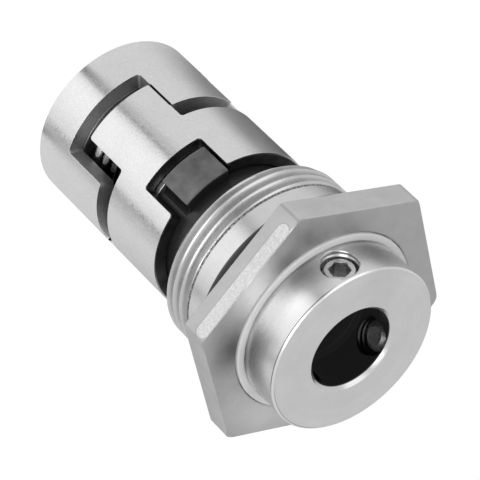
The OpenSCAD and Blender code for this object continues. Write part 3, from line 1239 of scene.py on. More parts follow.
@dataclass(frozen=True)
class Thread:
    """A right-hand V thread between two heights.

    Attributes:
        crest: Crest radius.
        root: Root radius.
        pitch: Distance between crests.
        low: Height of its lower end.
        high: Height of its upper end.
        low_radius: Radius at the lower end.
        high_radius: Radius at the upper end.
        run_out: Rise in radius for each millimetre from either end.
        rows: Rows of faces in each pitch.
        start: Rows between the lower end and the first crest at +X.
        crest_flat: Share of a pitch that the crest takes.
        root_flat: Share of a pitch that the root takes.
    """

    crest: float
    root: float
    pitch: float
    low: float
    high: float
    low_radius: float
    high_radius: float
    run_out: float = 1.0
    rows: int = 12
    start: int = 0
    crest_flat: float = 0.125
    root_flat: float = 0.2

    def radius(self, phase: float, height: float) -> float:
        """Works out the surface's radius.

        Args:
            phase: Share of a pitch, from 0 to 1.
            height: Height above the origin.

        Returns:
            The radius.
        """
        flank = (1 - self.crest_flat - self.root_flat) / 2
        if phase < self.crest_flat:
            depth = 0.0
        elif phase < self.crest_flat + flank:
            depth = (phase - self.crest_flat) / flank
        elif phase < self.crest_flat + flank + self.root_flat:
            depth = 1.0
        else:
            depth = (1 - phase) / flank
        grooved = self.crest + (self.root - self.crest) * depth
        from_low = self.low_radius + (height - self.low) * self.run_out
        from_high = self.high_radius + (self.high - height) * self.run_out
        return min(grooved, from_low, from_high)

    def add(self, mesh: bmesh.types.BMesh, steps: int) -> None:
        """Adds the threaded surface, open at both ends.

        Args:
            mesh: The mesh that it is added to.
            steps: Steps in a full turn.
        """
        spacing = self.pitch / self.rows
        first = -self.rows
        last = math.ceil((self.high - self.low) / spacing)
        layer = mesh.verts.layers.int.new("row")
        verts = []
        phases = {}
        for mark, row in enumerate(range(first, last + 1), 1):
            vert = mesh.verts.new((1, 0, self.low + row * spacing))
            vert[layer] = mark
            verts.append(vert)
            phases[mark] = (row - self.start) % self.rows / self.rows
        edges = [mesh.edges.new(pair) for pair in zip(verts, verts[1:])]
        spin(mesh, verts + edges, steps, self.pitch / steps)
        for vert in [vert for vert in mesh.verts if vert[layer]]:
            height = min(max(vert.co.z, self.low), self.high)
            radius = self.radius(phases[vert[layer]], height)
            flat = Vector((vert.co.x, vert.co.y)).normalized() * radius
            vert.co = (flat.x, flat.y, height)
        mesh.verts.layers.int.remove(layer)
        bmesh.ops.remove_doubles(mesh, verts=mesh.verts[:], dist=WELD)
        bmesh.ops.dissolve_degenerate(mesh, edges=mesh.edges[:], dist=SLIVER)


@dataclass
class Piece:
    """A new piece.

    Attributes:
        name: Its object's name.
        slot: Its material slot.
        body: The body that it rides on.
        nodes: The CAD nodes that it stands for.
        mesh: Its mesh, in millimetres.
    """

    name: str
    slot: Slot
    body: str
    nodes: tuple[str, ...]
    mesh: bmesh.types.BMesh = field(default_factory=bmesh.new)

    def place(self, matrix: Matrix) -> None:
        """Moves the mesh."""
        bmesh.ops.transform(self.mesh, matrix=matrix, verts=self.mesh.verts[:])

    def cut(self, cutter: bmesh.types.BMesh) -> None:
        """Takes a solid away from the mesh.

        Args:
            cutter: The solid, which is freed.
        """
        kept = object_from(self.mesh, f"{self.name}_stock")
        taken = object_from(cutter, f"{self.name}_cutter")
        boolean = kept.modifiers.new("cut", "BOOLEAN")
        boolean.operation = "DIFFERENCE"
        boolean.solver = "EXACT"
        boolean.object = taken
        result = kept.evaluated_get(bpy.context.evaluated_depsgraph_get()).to_mesh()
        self.mesh = bmesh.new()
        self.mesh.from_mesh(result)
        for spent in (kept, taken):
            data = spent.data
            bpy.data.objects.remove(spent)
            bpy.data.meshes.remove(data)

    def finish(
        self, finishes: Finishes, sharp: float = 40.0, bevel: float = 0.0
    ) -> bpy.types.Object:
        """Makes the object and hides the CAD nodes that it stands for.

        Args:
            finishes: Where its material comes from.
            sharp: Edges that turn by more than this many degrees stay sharp.
            bevel: Width of the bevel on such edges, in millimetres, or 0 for none.

        Returns:
            The object.
        """
        self.place(Matrix.Scale(MM, 4))
        for face in self.mesh.faces:
            face.smooth = True
        for edge in self.mesh.edges:
            if len(edge.link_faces) == 2 and edge.calc_face_angle() > math.radians(sharp):
                edge.smooth = bevel > 0
        piece = object_from(self.mesh, self.name)
        piece.data.materials.append(finishes.get(self.slot))
        if bevel > 0:
            rim = piece.modifiers.new("rim", "BEVEL")
            rim.width = bevel * MM
            rim.segments = 2
            rim.limit_method = "ANGLE"
            rim.angle_limit = math.radians(sharp)
        weighted = piece.modifiers.new("even_shading", "WEIGHTED_NORMAL")
        weighted.keep_sharp = True
        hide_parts(*self.nodes)
        LOG.info("%s: %d faces on %s", self.name, len(piece.data.polygons), self.body)
        return piece

    def ride(self, finishes: Finishes, sharp: float = 40.0, bevel: float = 0.0) -> None:
        """Finishes the piece and lets it ride on its body.

        Args:
            finishes: Where its material comes from.
            sharp: Edges that turn by more than this many degrees stay sharp.
            bevel: Width of the bevel on such edges, in millimetres, or 0 for none.
        """
        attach(self.finish(finishes, sharp, bevel), self.body)


@dataclass(frozen=True)
class Reach:
    """How far a CAD node reaches, in millimetres.

    Attributes:
        radius: Its largest radius.
        low: Height of its underside.
        high: Height of its top.
    """

    radius: float
    low: float
    high: float

    @classmethod
    def of(cls, node: str) -> "Reach":
        """Measures a node.

        Args:
            node: The node's name.

        Returns:
            How far it reaches.
        """
        low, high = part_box(node)
        return cls(max(high.x, high.y) / MM, low.z / MM, high.z / MM)


@dataclass(frozen=True)
class Castellation:
    """One edge of a castellated tube, described by its notches.

    Attributes:
        near: Height of the edge where it isn't notched.
        far: Height of the notches' floor.
        middle: Angle of the first notch's middle.
        width: Width of a notch, in degrees.
    """

    near: float
    far: float
    middle: float
    width: float

    def points(self, seam: float) -> list[Point]:
        """Lists its corners once round, starting at the seam.

        Args:
            seam: The angle at which the tube is laid open, outside every notch.

        Returns:
            Angle from the seam, and height, of each corner.
        """
        found: list[Point] = []
        first = (self.middle - seam) % DOG_PITCH
        for dog in range(DOGS):
            start = first + dog * DOG_PITCH - self.width / 2
            end = start + self.width
            found += [(start, self.near), (start, self.far), (end, self.far), (end, self.near)]
        return found


@dataclass(frozen=True)
class CastellatedTube:
    """A tube cut by notches, made flat and then rolled up.

    Attributes:
        outer: Outer radius.
        inner: Inner radius.
        lower: The lower edge, or its height where it is plain.
        upper: The upper edge.
        seam: Angle at which it is laid open.
        corner: Radius of the notches' corners.
        corner_steps: Straight pieces in such a corner.
        cuts: Strips that it is rolled up in.
    """

    outer: float
    inner: float
    lower: Castellation | float
    upper: Castellation
    seam: float
    corner: float = 0.42
    corner_steps: int = 5
    cuts: int = 180

    def add(self, mesh: bmesh.types.BMesh) -> None:
        """Adds the tube to a mesh that is still empty.

        Args:
            mesh: The mesh.
        """
        length = FULL_TURN * self.outer
        mesh.faces.new([mesh.verts.new((x, 0, z)) for x, z in self.outline()])
        hair = 1e-3
        corners = [v for v in mesh.verts if hair < v.co.x < length - hair]
        bmesh.ops.bevel(
            mesh,
            geom=corners,
            offset=self.corner,
            offset_type="OFFSET",
            segments=self.corner_steps,
            profile=0.5,
            affect="VERTICES",
            material=-1,
        )
        for cut in range(1, self.cuts):
            bmesh.ops.bisect_plane(
                mesh,
                geom=mesh.verts[:] + mesh.edges[:] + mesh.faces[:],
                plane_co=(length * cut / self.cuts, 0, 0),
                plane_no=(1, 0, 0),
            )
        extrude(mesh, mesh.faces[:], (0, self.outer - self.inner, 0))
        starts = [f for f in mesh.faces if all(v.co.x < hair for v in f.verts)]
        ends = [f for f in mesh.faces if all(v.co.x > length - hair for v in f.verts)]
        bmesh.ops.delete(mesh, geom=starts + ends, context="FACES_ONLY")
        for vert in mesh.verts:
            angle = math.radians(self.seam) + vert.co.x / self.outer
            radius = self.inner + vert.co.y
            vert.co = (radius * math.cos(angle), radius * math.sin(angle), vert.co.z)

    def outline(self) -> list[Point]:
        """Lays the wall's outline out flat.

        Returns:
            Distance from the seam round the outside, and height, of each corner.
        """
        notched = isinstance(self.lower, Castellation)
        lower = self.lower.points(self.seam) if notched else []
        foot = self.lower.near if notched else self.lower
        upper = reversed(self.upper.points(self.seam))
        corners = [(0.0, foot), *lower, (360.0, foot)]
        corners += [(360.0, self.upper.near), *upper, (0.0, self.upper.near)]
        return [(math.radians(angle) * self.outer, height) for angle, height in corners]


@dataclass(frozen=True)
class SpringCup:
    """The castellated cup at the far end.

    Attributes:
        floor: Heights of the floor's underside and top.
        sill: Height of the notches' floor.
        overlap: How far the floor reaches into the wall.
    """

    inner: float = 10.0
    floor: tuple[float, float] = (3.9, 5.7)
    hub: float = 7.1
    sill: float = 6.3
    notch_middle: float = 33.8
    notch_width: float = 69.0
    overlap: float = 0.05
    edge: float = 0.11
    steps: int = 180

    def build(self, finishes: Finishes) -> None:
        """Builds the cup.

        Args:
            finishes: Where its material comes from.
        """
        reach = Reach.of("spring_cup")
        piece = Piece("spring_cup_body", Slot.BLASTED, "sleeve_unit", ("spring_cup",))
        upper = Castellation(reach.high, self.sill, self.notch_middle, self.notch_width)
        seam = self.notch_middle + DOG_PITCH / 2
        CastellatedTube(reach.radius, self.inner, reach.low, upper, seam).add(piece.mesh)
        low, high = self.floor
        outer = self.inner + self.overlap
        floor = [(self.hub, low), (outer, low), (outer, high), (self.hub, high)]
        revolve(piece.mesh, floor, self.steps)
        weld(piece.mesh)
        piece.ride(finishes, bevel=self.edge)


@dataclass(frozen=True)
class DriveRing:
    """The ring with notches on both sides, and its inner web.

    Attributes:
        inner: Radius of the web's lower shoulder.
        band: Heights between which the wall is whole.
        web: Heights of the web's underside and top.
        seam_past: Degrees past an upper notch at which the wall is laid open.
        shoulder: How far the web's shoulder lies over the band's foot.
        overlap: How far the web reaches into the wall.
    """

    inner: float = 10.0
    skirt_inner: float = 10.6
    hub: float = 7.18
    band: tuple[float, float] = (16.75, 21.65)
    web: tuple[float, float] = (18.35, 20.95)
    tab_middle: float = -94.65 + DOG_PITCH
    tab_width: float = 50.5
    notch_width: float = 46.5
    seam_past: float = 1.0
    shoulder: float = 0.1
    overlap: float = 0.05
    edge: float = 0.11
    steps: int = 180

    def build(self, finishes: Finishes) -> None:
        """Builds the ring.

        Args:
            finishes: Where its material comes from.
        """
        reach = Reach.of("drive_ring")
        piece = Piece("drive_ring_body", Slot.BLASTED, "drive_unit", ("drive_ring",))
        foot, top = self.band
        gap_middle = self.tab_middle + DOG_PITCH / 2
        lower = Castellation(reach.low, foot, gap_middle, DOG_PITCH - self.tab_width)
        upper = Castellation(reach.high, top, self.tab_middle, self.notch_width)
        seam = self.tab_middle + self.notch_width / 2 + self.seam_past
        CastellatedTube(reach.radius, self.skirt_inner, lower, upper, seam).add(piece.mesh)
        low, high = self.web
        outer = self.skirt_inner + self.overlap
        shoulder = foot + self.shoulder
        web = [(self.hub, low), (self.inner, low), (self.inner, shoulder)]
        web += [(outer, shoulder), (outer, high), (self.hub, high)]
        revolve(piece.mesh, web, self.steps)
        weld(piece.mesh)
        piece.ride(finishes, bevel=self.edge)


@dataclass(frozen=True)
class Gland:
    """The hexagonal flange and its threaded neck.

    Attributes:
        thread_start: Rows between the neck's end and the first crest at +X.
        thread_end: Radius at which it ends.
        neck_bore: Radius of the seat's pocket in the neck.
        entry: Chamfer of that pocket.
        chamfer_radius: Radius of the neck's end.
        relief_slope: Height of the relief's sloping sides.
        groove_z: Height of the groove's underside.
        face: Radius from which the face slopes down.
        face_slope: How far it falls for each millimetre of radius.
        border: Width of the rows along the hexagon's edges.
        inset: How far inside the flats the plain faces begin.
        round_wall: Radius of the round flange that is drawn in to the hexagon.
    """

    steps: int = 360
    thread_crest: float = 14.0
    thread_root: float = 13.12
    thread_pitch: float = 1.5
    thread_top: float = 37.5
    thread_start: int = 7
    thread_end: float = 13.7
    neck_bore: float = 11.5
    entry: float = 0.3
    chamfer_radius: float = 13.1
    relief: float = 13.58
    relief_top: float = 37.85
    relief_slope: float = 0.08
    plain: float = 13.7
    groove: float = 12.6
    groove_z: float = 41.4
    hexagon_z: float = 44.3
    apothem: float = 17.05
    corner: float = 19.55
    face: float = 19.25
    face_slope: float = math.tan(math.radians(28))
    first_flat: float = 39.6
    recess: float = 13.55
    recess_z: float = 46.95
    bush_bore: float = 10.63
    bush_z: float = 45.05
    web_bore: float = 7.6
    web_z: float = 39.75
    rim: float = 0.12
    border: float = 0.45
    inset: float = 1.2
    round_wall: float = 30.0

    def build(self, finishes: Finishes) -> None:
        """Builds the gland.

        Args:
            finishes: Where its material comes from.
        """
        reach = Reach.of("gland")
        piece = Piece("gland_body", Slot.GLAND, "gland_unit", ("gland",))
        thread = Thread(
            self.thread_crest,
            self.thread_root,
            self.thread_pitch,
            reach.low,
            self.thread_top,
            self.chamfer_radius,
            self.thread_end,
            start=self.thread_start,
        )
        thread.add(piece.mesh, self.steps)
        revolve(piece.mesh, self.profile(reach), self.steps, closed=False)
        self.draw_in(piece.mesh, reach.high)
        weld(piece.mesh)
        piece.ride(finishes)

    def profile(self, reach: Reach) -> list[Point]:
        """Lists the profile from the thread's end round to its start.

        Args:
            reach: How far the gland reaches.

        Returns:
            Radius and height of each point, with the flange still round.
        """
        top, foot = reach.high, reach.low
        wall, rim = self.round_wall, self.rim
        return [
            (self.thread_end, self.thread_top),
            (self.relief, self.thread_top + self.relief_slope),
            (self.relief, self.relief_top - self.relief_slope),
            (self.plain, self.relief_top),
            (self.plain, self.groove_z - rim),
            (self.plain - rim, self.groove_z),
            (self.groove, self.groove_z),
            (self.groove, self.hexagon_z),
            (self.apothem - self.inset, self.hexagon_z),
            (wall - rim, self.hexagon_z),
            (wall, self.hexagon_z + rim),
            (wall, top - rim),
            (wall - rim, top),
            (wall - self.border, top),
            (self.apothem - self.inset, top),
            (self.recess + rim, top),
            (self.recess, top - rim),
            (self.recess, self.recess_z),
            (self.bush_bore, self.recess_z),
            (self.bush_bore, self.bush_z),
            (self.web_bore, self.bush_z),
            (self.web_bore, self.web_z),
            (self.neck_bore, self.web_z),
            (self.neck_bore, foot + self.entry),
            (self.neck_bore + self.entry, foot),
            (self.chamfer_radius, foot),
        ]

    def draw_in(self, mesh: bmesh.types.BMesh, top: float) -> None:
        """Draws the round flange in to the hexagon, with its sloping corners.

        Args:
            mesh: The gland's mesh.
            top: Height of the face.
        """
        for vert in mesh.verts:
            radius = math.hypot(vert.co.x, vert.co.y)
            if radius < self.round_wall - 1.5 * self.border:
                continue
            edge = self.hexagon_radius(math.atan2(vert.co.y, vert.co.x))
            outline = edge - (self.round_wall - radius)
            vert.co.x *= outline / radius
            vert.co.y *= outline / radius
            if vert.co.z > (self.hexagon_z + top) / 2:
                vert.co.z -= max(outline - self.face, 0.0) * self.face_slope

    def hexagon_radius(self, angle: float) -> float:
        """Works out the hexagon's outline, with its corners turned.

        Args:
            angle: The angle round the shaft, in radians.

        Returns:
            The radius there.
        """
        half = FLAT_PITCH / 2
        off = (math.degrees(angle) - self.first_flat + half) % FLAT_PITCH - half
        return min(self.apothem / math.cos(math.radians(off)), self.corner)


@dataclass(frozen=True)
class SetScrews:
    """The three cup-point set screws.

    Attributes:
        azimuths: Their angles round the shaft.
        axis_z: Height of their axes.
        tip: Radius that their points reach in to.
        socket: Width of the socket across its flats.
        socket_turn: How far it is turned, in degrees.
        socket_room: Room that it has on each side.
        flare: How far the socket's countersink reaches in and out of its corners.
        flare_depth: Height of the countersink's cone.
        flare_proud: How far that cone's middle stands out of the screw.
        cone: Height of the point's cone.
        point: Radius of the point's ring.
        point_ring: Width of the ring outside that, and its fall.
        cup_ring: Width of the ring inside that, and its fall.
        slack: Small step between root and cone.
        sharp: Edges that turn by more than this many degrees stay sharp.
    """

    azimuths: tuple[float, ...] = (118.8, 238.8, 358.8)
    axis_z: float = 51.7
    tip: float = 6.5
    length: float = 5.0
    radius: float = 2.46
    root: float = 2.08
    pitch: float = 0.8
    socket: float = 2.5
    socket_depth: float = 2.3
    socket_turn: float = 20.0
    socket_room: float = 0.06
    flare: tuple[float, float] = (0.35, 0.25)
    flare_depth: float = 0.6
    flare_proud: float = 0.1
    cone: float = 0.75
    point: float = 1.25
    point_ring: Point = (0.06, 0.05)
    cup_ring: Point = (0.12, 0.03)
    cup: float = 0.55
    crown: float = 0.28
    crown_chamfer: float = 0.12
    slack: float = 0.02
    sharp: float = 32.0
    steps: int = 64
    flare_steps: int = 48

    def matrix(self, azimuth: float) -> Matrix:
        """Works out the move from a screw on the Z axis to its hole.

        Args:
            azimuth: The hole's angle round the shaft.

        Returns:
            The move.
        """
        turn = Matrix.Rotation(math.radians(azimuth), 4, "Z")
        lay = Matrix.Rotation(math.radians(90), 4, "Y")
        return turn @ Matrix.Translation((0, 0, self.axis_z)) @ lay

    def build(self, finishes: Finishes) -> None:
        """Builds the screws.

        Args:
            finishes: Where their material comes from.
        """
        for number, azimuth in enumerate(self.azimuths, 1):
            node = f"set_screw_{number}"
            piece = Piece(f"{node}_body", Slot.SCREW, node, (node,))
            self.add_shank(piece.mesh)
            weld(piece.mesh)
            self.cut_socket(piece)
            piece.place(self.matrix(azimuth))
            piece.ride(finishes, sharp=self.sharp)

    def add_shank(self, mesh: bmesh.types.BMesh) -> None:
        """Adds the threaded shank with its crown and its cup point.

        Args:
            mesh: The screw's mesh, which is still empty.
        """
        top = self.tip + self.length
        low, high = self.tip + self.cone, top - self.crown
        foot = self.root - self.slack
        thread = Thread(self.radius, self.root, self.pitch, low, high, foot, self.root)
        thread.add(mesh, self.steps)
        crown = [(self.root, high), (self.root - self.crown_chamfer, top), (0.0, top)]
        revolve(mesh, crown, self.steps, closed=False)
        in_width, in_fall = self.cup_ring
        out_width, out_fall = self.point_ring
        cup = [
            (0.0, self.tip + self.cup),
            (self.point - in_width, self.tip + in_fall),
            (self.point, self.tip),
            (self.point + out_width, self.tip + out_fall),
            (foot, low),
        ]
        revolve(mesh, cup, self.steps, closed=False)

    def cut_socket(self, piece: Piece) -> None:
        """Cuts the hexagon socket and its countersink.

        Args:
            piece: The screw, still on the Z axis.
        """
        top = self.tip + self.length
        corner = (self.socket / 2 + self.socket_room) / math.cos(math.pi / FLATS)
        turn = Matrix.Rotation(math.radians(self.socket_turn), 4, "Z")
        stand = Matrix.Translation((0, 0, top)) @ turn
        piece.cut(cone(corner, corner, self.socket_depth * 2, FLATS, stand))
        inward, outward = self.flare
        stand = Matrix.Translation((0, 0, top + self.flare_proud))
        ends = (corner - inward, corner + outward)
        piece.cut(cone(*ends, self.flare_depth, self.flare_steps, stand))


@dataclass(frozen=True)
class LockCollar:
    """The collar and its three tapped holes.

    Attributes:
        screws: The screws, which say where the holes are.
        bottom: Height of the underside.
        neck: Radius of the neck that stands on the sleeve.
        sleeve: Radius of the sleeve's seat in it.
        sleeve_top: Height at which that seat ends.
        overrun: How far its cutter reaches past the collar's wall, inside and outside.
        sink: Depths at which its countersink begins and ends.
        sink_width: Width of the countersink.
        mouth: How much wider the cutter's outer end is.
    """

    screws: SetScrews
    outer: float = 12.5
    bore: float = 6.0
    bottom: float = 48.6
    chamfer: float = 0.25
    bore_chamfer: float = 0.55
    neck: float = 9.2
    sleeve: float = 7.1
    sleeve_top: float = 47.8
    edge: float = 0.09
    steps: int = 256
    hole: float = 2.5
    hole_thread: float = 0.2
    hole_steps: int = 64
    overrun: tuple[float, float] = (1.0, 0.4)
    sink: tuple[float, float] = (0.1, 0.02)
    sink_width: float = 0.16
    mouth: float = 0.2

    def build(self, finishes: Finishes) -> None:
        """Builds the collar.

        Args:
            finishes: Where its material comes from.
        """
        reach = Reach.of("lock_collar")
        piece = Piece("lock_collar_body", Slot.COLLAR, "sleeve_unit", ("lock_collar",))
        profile = [
            (self.sleeve, reach.low),
            (self.neck, reach.low),
            (self.neck, self.bottom),
            (self.outer, self.bottom),
            (self.outer, reach.high - self.chamfer),
            (self.outer - self.chamfer, reach.high),
            (self.bore + self.bore_chamfer, reach.high),
            (self.bore, reach.high - self.bore_chamfer),
            (self.bore, self.sleeve_top),
            (self.sleeve, self.sleeve_top),
        ]
        revolve(piece.mesh, rounded(profile, self.edge), self.steps)
        weld(piece.mesh)
        for azimuth in self.screws.azimuths:
            cutter = self.hole_cutter()
            move = self.screws.matrix(azimuth)
            bmesh.ops.transform(cutter, matrix=move, verts=cutter.verts[:])
            piece.cut(cutter)
        piece.ride(finishes)

    def hole_cutter(self) -> bmesh.types.BMesh:
        """Makes the solid that cuts a tapped hole.

        Returns:
            The solid, standing on the Z axis.
        """
        cutter = bmesh.new()
        past_bore, past_wall = self.overrun
        begin, end = self.sink
        foot, head = self.bore - past_bore, self.outer - begin
        root = self.hole + self.hole_thread
        thread = Thread(self.hole, root, self.screws.pitch, foot, head, self.hole, self.hole)
        thread.add(cutter, self.hole_steps)
        flare = self.hole + self.sink_width
        proud = self.outer + past_wall
        mouth = [(self.hole, head), (flare, self.outer - end), (flare + self.mouth, proud)]
        revolve(cutter, [*mouth, (0.0, proud)], self.hole_steps, closed=False)
        revolve(cutter, [(0.0, foot), (self.hole, foot)], self.hole_steps, closed=False)
        weld(cutter)
        return cutter


@dataclass(frozen=True)
class CoilSpring:
    """The coil spring, with closed end turns.

    Attributes:
        middle: Radius of the wire's middle.
        open_turns: Turns between the closed ones.
        gap: Gap between the wires of a closed turn.
    """

    middle: float = 8.625
    wire: float = 1.45
    open_turns: int = 4
    gap: float = 0.02
    steps: int = 60
    sides: int = 18

    def build(self, finishes: Finishes) -> None:
        """Builds the spring in its CAD node's place.

        Args:
            finishes: Where its material comes from.
        """
        reach = Reach.of("coil_spring")
        piece = Piece("coil_spring_wire", Slot.SPRING, "spring_unit", ("coil_spring",))
        closed = self.wire + self.gap
        height = reach.high - reach.low
        opened = (height - self.wire - 2 * closed) / self.open_turns
        foot = Matrix.Translation((self.middle, 0, reach.low + self.wire / 2))
        stand = foot @ Matrix.Rotation(math.radians(90), 4, "X")
        bmesh.ops.create_circle(
            piece.mesh, cap_ends=True, segments=self.sides, radius=self.wire / 2, matrix=stand
        )
        section = piece.mesh.faces[:]
        for rise in (closed, *[opened] * self.open_turns, closed):
            shape = section + [e for f in section for e in f.edges]
            shape += [v for f in section for v in f.verts]
            end = spin(piece.mesh, shape, self.steps, rise / self.steps)
            section = [item for item in end if isinstance(item, bmesh.types.BMFace)]
        bmesh.ops.recalc_face_normals(piece.mesh, faces=piece.mesh.faces[:])
        made = piece.finish(finishes)
        low = reach.low * MM
        high = reach.high * MM
        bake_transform(made)


@dataclass(frozen=True)
class SealRing:
    """The rotating seal ring with its three drive lugs.

    Attributes:
        pocket: Radius of the O-ring's pocket.
        pocket_z: Height at which the pocket ends.
        shoulder_z: Height of the shoulder under the nose.
        nose: Inner and outer radius of the nose.
        lug_z: Heights of their undersides and tops.
        fillet: Radius of the fillet at a lug's free side.
        rooted: How far the lugs reach into the ring.
    """

    body: float = 10.45
    bore: float = 7.25
    pocket: float = 9.13
    pocket_z: float = 24.8
    shoulder_z: float = 33.5
    nose: tuple[float, float] = (7.95, 9.65)
    lug_radius: float = 12.1
    lug_z: tuple[float, float] = (23.0, 28.7)
    lug_width: float = 34.5
    lug_middle: float = -99.05
    fillet: float = 1.5
    rooted: float = 0.5
    crown_steps: int = 6
    fillet_steps: int = 8
    edge: float = 0.16
    steps: int = 240

    def build(self, finishes: Finishes) -> None:
        """Builds the ring.

        Args:
            finishes: Where its material comes from.
        """
        reach = Reach.of("seal_ring")
        piece = Piece("seal_ring_body", Slot.CARBON, "seal_unit", ("seal_ring",))
        inner, outer = self.nose
        profile = [
            (self.pocket, reach.low),
            (self.body, reach.low),
            (self.body, self.shoulder_z),
            (outer, self.shoulder_z),
            (outer, reach.high),
            (inner, reach.high),
            (inner, self.shoulder_z),
            (self.bore, self.shoulder_z),
            (self.bore, self.pocket_z),
            (self.pocket, self.pocket_z),
        ]
        revolve(piece.mesh, profile, self.steps)
        low, high = self.lug_z
        for dog in range(DOGS):
            turn = Matrix.Rotation(math.radians(self.lug_middle + dog * DOG_PITCH), 4, "Z")
            spots = [turn @ Vector((x, y, low)) for x, y in self.lug_outline()]
            face = piece.mesh.faces.new([piece.mesh.verts.new(spot) for spot in spots])
            extrude(piece.mesh, [face], (0, 0, high - low))
        bmesh.ops.recalc_face_normals(piece.mesh, faces=piece.mesh.faces[:])
        piece.ride(finishes, bevel=self.edge)

    def lug_outline(self) -> list[Point]:
        """Draws a lug as it is seen along the shaft, centred on +X.

        Returns:
            The outline's points, with the filleted free side last.
        """
        half = math.radians(self.lug_width / 2)
        root = self.body - self.rooted
        centre = self.body + self.fillet
        swing = math.asin(self.fillet / centre)
        shares = range(-self.crown_steps, self.crown_steps + 1)
        outline = [polar(root, -half)]
        outline += [polar(self.lug_radius, half * share / self.crown_steps) for share in shares]
        middle = Vector(polar(centre, half + swing))
        quarter = math.pi / 2
        for share in range(self.fillet_steps + 1):
            turn = half - quarter - (quarter - swing) * share / self.fillet_steps
            outline.append(tuple(middle + Vector(polar(self.fillet, turn))))
        return [*outline, polar(root, half + swing)]


@dataclass(frozen=True)
class TurnedPiece:
    """A plain turned ring, washer or tube.

    Attributes:
        node: The CAD node that it stands for.
        slot: Its material slot.
        body: The body that it rides on.
        profile: Radius and height of each corner.
        edge: Rounding of the edges.
        steps: Steps round it.
    """

    node: str
    slot: Slot
    body: str
    profile: tuple[Point, ...]
    edge: float = 0.08
    steps: int = 180

    def build(self, finishes: Finishes) -> None:
        """Builds the piece.

        Args:
            finishes: Where its material comes from.
        """
        piece = Piece(f"{self.node}_body", self.slot, self.body, (self.node,))
        revolve(piece.mesh, rounded(self.profile, self.edge), self.steps)
        weld(piece.mesh)
        piece.ride(finishes)


@dataclass(frozen=True)
class TurnedPieces:
    """The sleeve, the washers, the seat and the white ring.

    Attributes:
        foot_z: Height at which the foot ends.
        foot_groove: Radius of the O-ring's groove in the foot, and its two heights.
        seat_step: Height of the seat's step.
        seat_back: Radius behind that step.
        flange_z: Height of its flange's underside.
        washer_room: Room between a washer and the sleeve.
    """

    bore: float = 6.0
    sleeve: float = 7.1
    foot: float = 8.9
    foot_z: float = 3.9
    foot_groove: tuple[float, float, float] = (7.9, 1.0, 3.2)
    seat_step: float = 37.4
    seat_back: float = 9.64
    still_bore: float = 7.6
    ring_bore: float = 9.28
    bush: float = 10.58
    flange_z: float = 46.95
    ring_edge: float = 0.16
    washer_room: float = 0.15
    washer_edge: float = 0.1

    def build(self, finishes: Finishes) -> None:
        """Builds each of them.

        Args:
            finishes: Where their materials come from.
        """
        for piece in (self.shaft_sleeve(), self.seat(), self.spacer_ring(), *self.washers()):
            piece.build(finishes)

    def shaft_sleeve(self) -> TurnedPiece:
        """Draws the sleeve with its foot and its O-ring's groove.

        Returns:
            The sleeve.
        """
        reach = Reach.of("shaft_sleeve")
        groove, groove_low, groove_high = self.foot_groove
        profile = (
            (self.bore, reach.low),
            (self.foot, reach.low),
            (self.foot, self.foot_z),
            (self.sleeve, self.foot_z),
            (self.sleeve, reach.high),
            (self.bore, reach.high),
            (self.bore, groove_high),
            (groove, groove_high),
            (groove, groove_low),
            (self.bore, groove_low),
        )
        return TurnedPiece("shaft_sleeve", Slot.TURNED, "sleeve_unit", profile)

    def seat(self) -> TurnedPiece:
        """Draws the stationary seat.

        Returns:
            The seat.
        """
        reach = Reach.of("stationary_seat")
        profile = (
            (self.still_bore, reach.low),
            (reach.radius, reach.low),
            (reach.radius, self.seat_step),
            (self.seat_back, self.seat_step),
            (self.seat_back, reach.high),
            (self.still_bore, reach.high),
        )
        return TurnedPiece("stationary_seat", Slot.CARBON, "gland_unit", profile)

    def spacer_ring(self) -> TurnedPiece:
        """Draws the white ring.

        Returns:
            The ring.
        """
        reach = Reach.of("spacer_ring")
        profile = (
            (self.ring_bore, reach.low),
            (self.bush, reach.low),
            (self.bush, self.flange_z),
            (reach.radius, self.flange_z),
            (reach.radius, reach.high),
            (self.ring_bore, reach.high),
        )
        return TurnedPiece("spacer_ring", Slot.PLASTIC, "gland_unit", profile, self.ring_edge)

    def washers(self) -> Iterable[TurnedPiece]:
        """Draws the two flat washers.

        Returns:
            The washers, one after the other.
        """
        inner = self.sleeve + self.washer_room
        for node, body in (("spring_washer", "spring_unit"), ("backup_washer", "drive_unit")):
            reach = Reach.of(node)
            profile = (
                (inner, reach.low),
                (reach.radius, reach.low),
                (reach.radius, reach.high),
                (inner, reach.high),
            )
            yield TurnedPiece(node, Slot.TURNED, body, profile, self.washer_edge)


@dataclass(frozen=True)
class RubberRings:
    """The four O-rings.

    Attributes:
        bodies: The body that each ring rides on.
        sides: Sides of a ring's section.
        steps: Steps round a ring.
    """

    bodies: Mapping[str, str] = field(
        default_factory=lambda: {
            "gland_o_ring": "gland_unit",
            "seat_o_ring": "gland_unit",
            "seal_ring_o_ring": "seal_unit",
            "shaft_o_ring": "sleeve_unit",
        }
    )
    sides: int = 24
    steps: int = 180

    def build(self, finishes: Finishes) -> None:
        """Builds each ring in its CAD node's place.

        Args:
            finishes: Where their material comes from.
        """
        for node, body in self.bodies.items():
            reach = Reach.of(node)
            section = (reach.high - reach.low) / 2
            middle = Vector((reach.radius - section, (reach.low + reach.high) / 2))
            turns = [FULL_TURN * side / self.sides for side in range(self.sides)]
            profile = [tuple(middle + Vector(polar(section, turn))) for turn in turns]
            piece = Piece(f"{node}_rubber", Slot.RUBBER, body, (node,))
            revolve(piece.mesh, profile, self.steps)
            weld(piece.mesh)
            piece.ride(finishes)


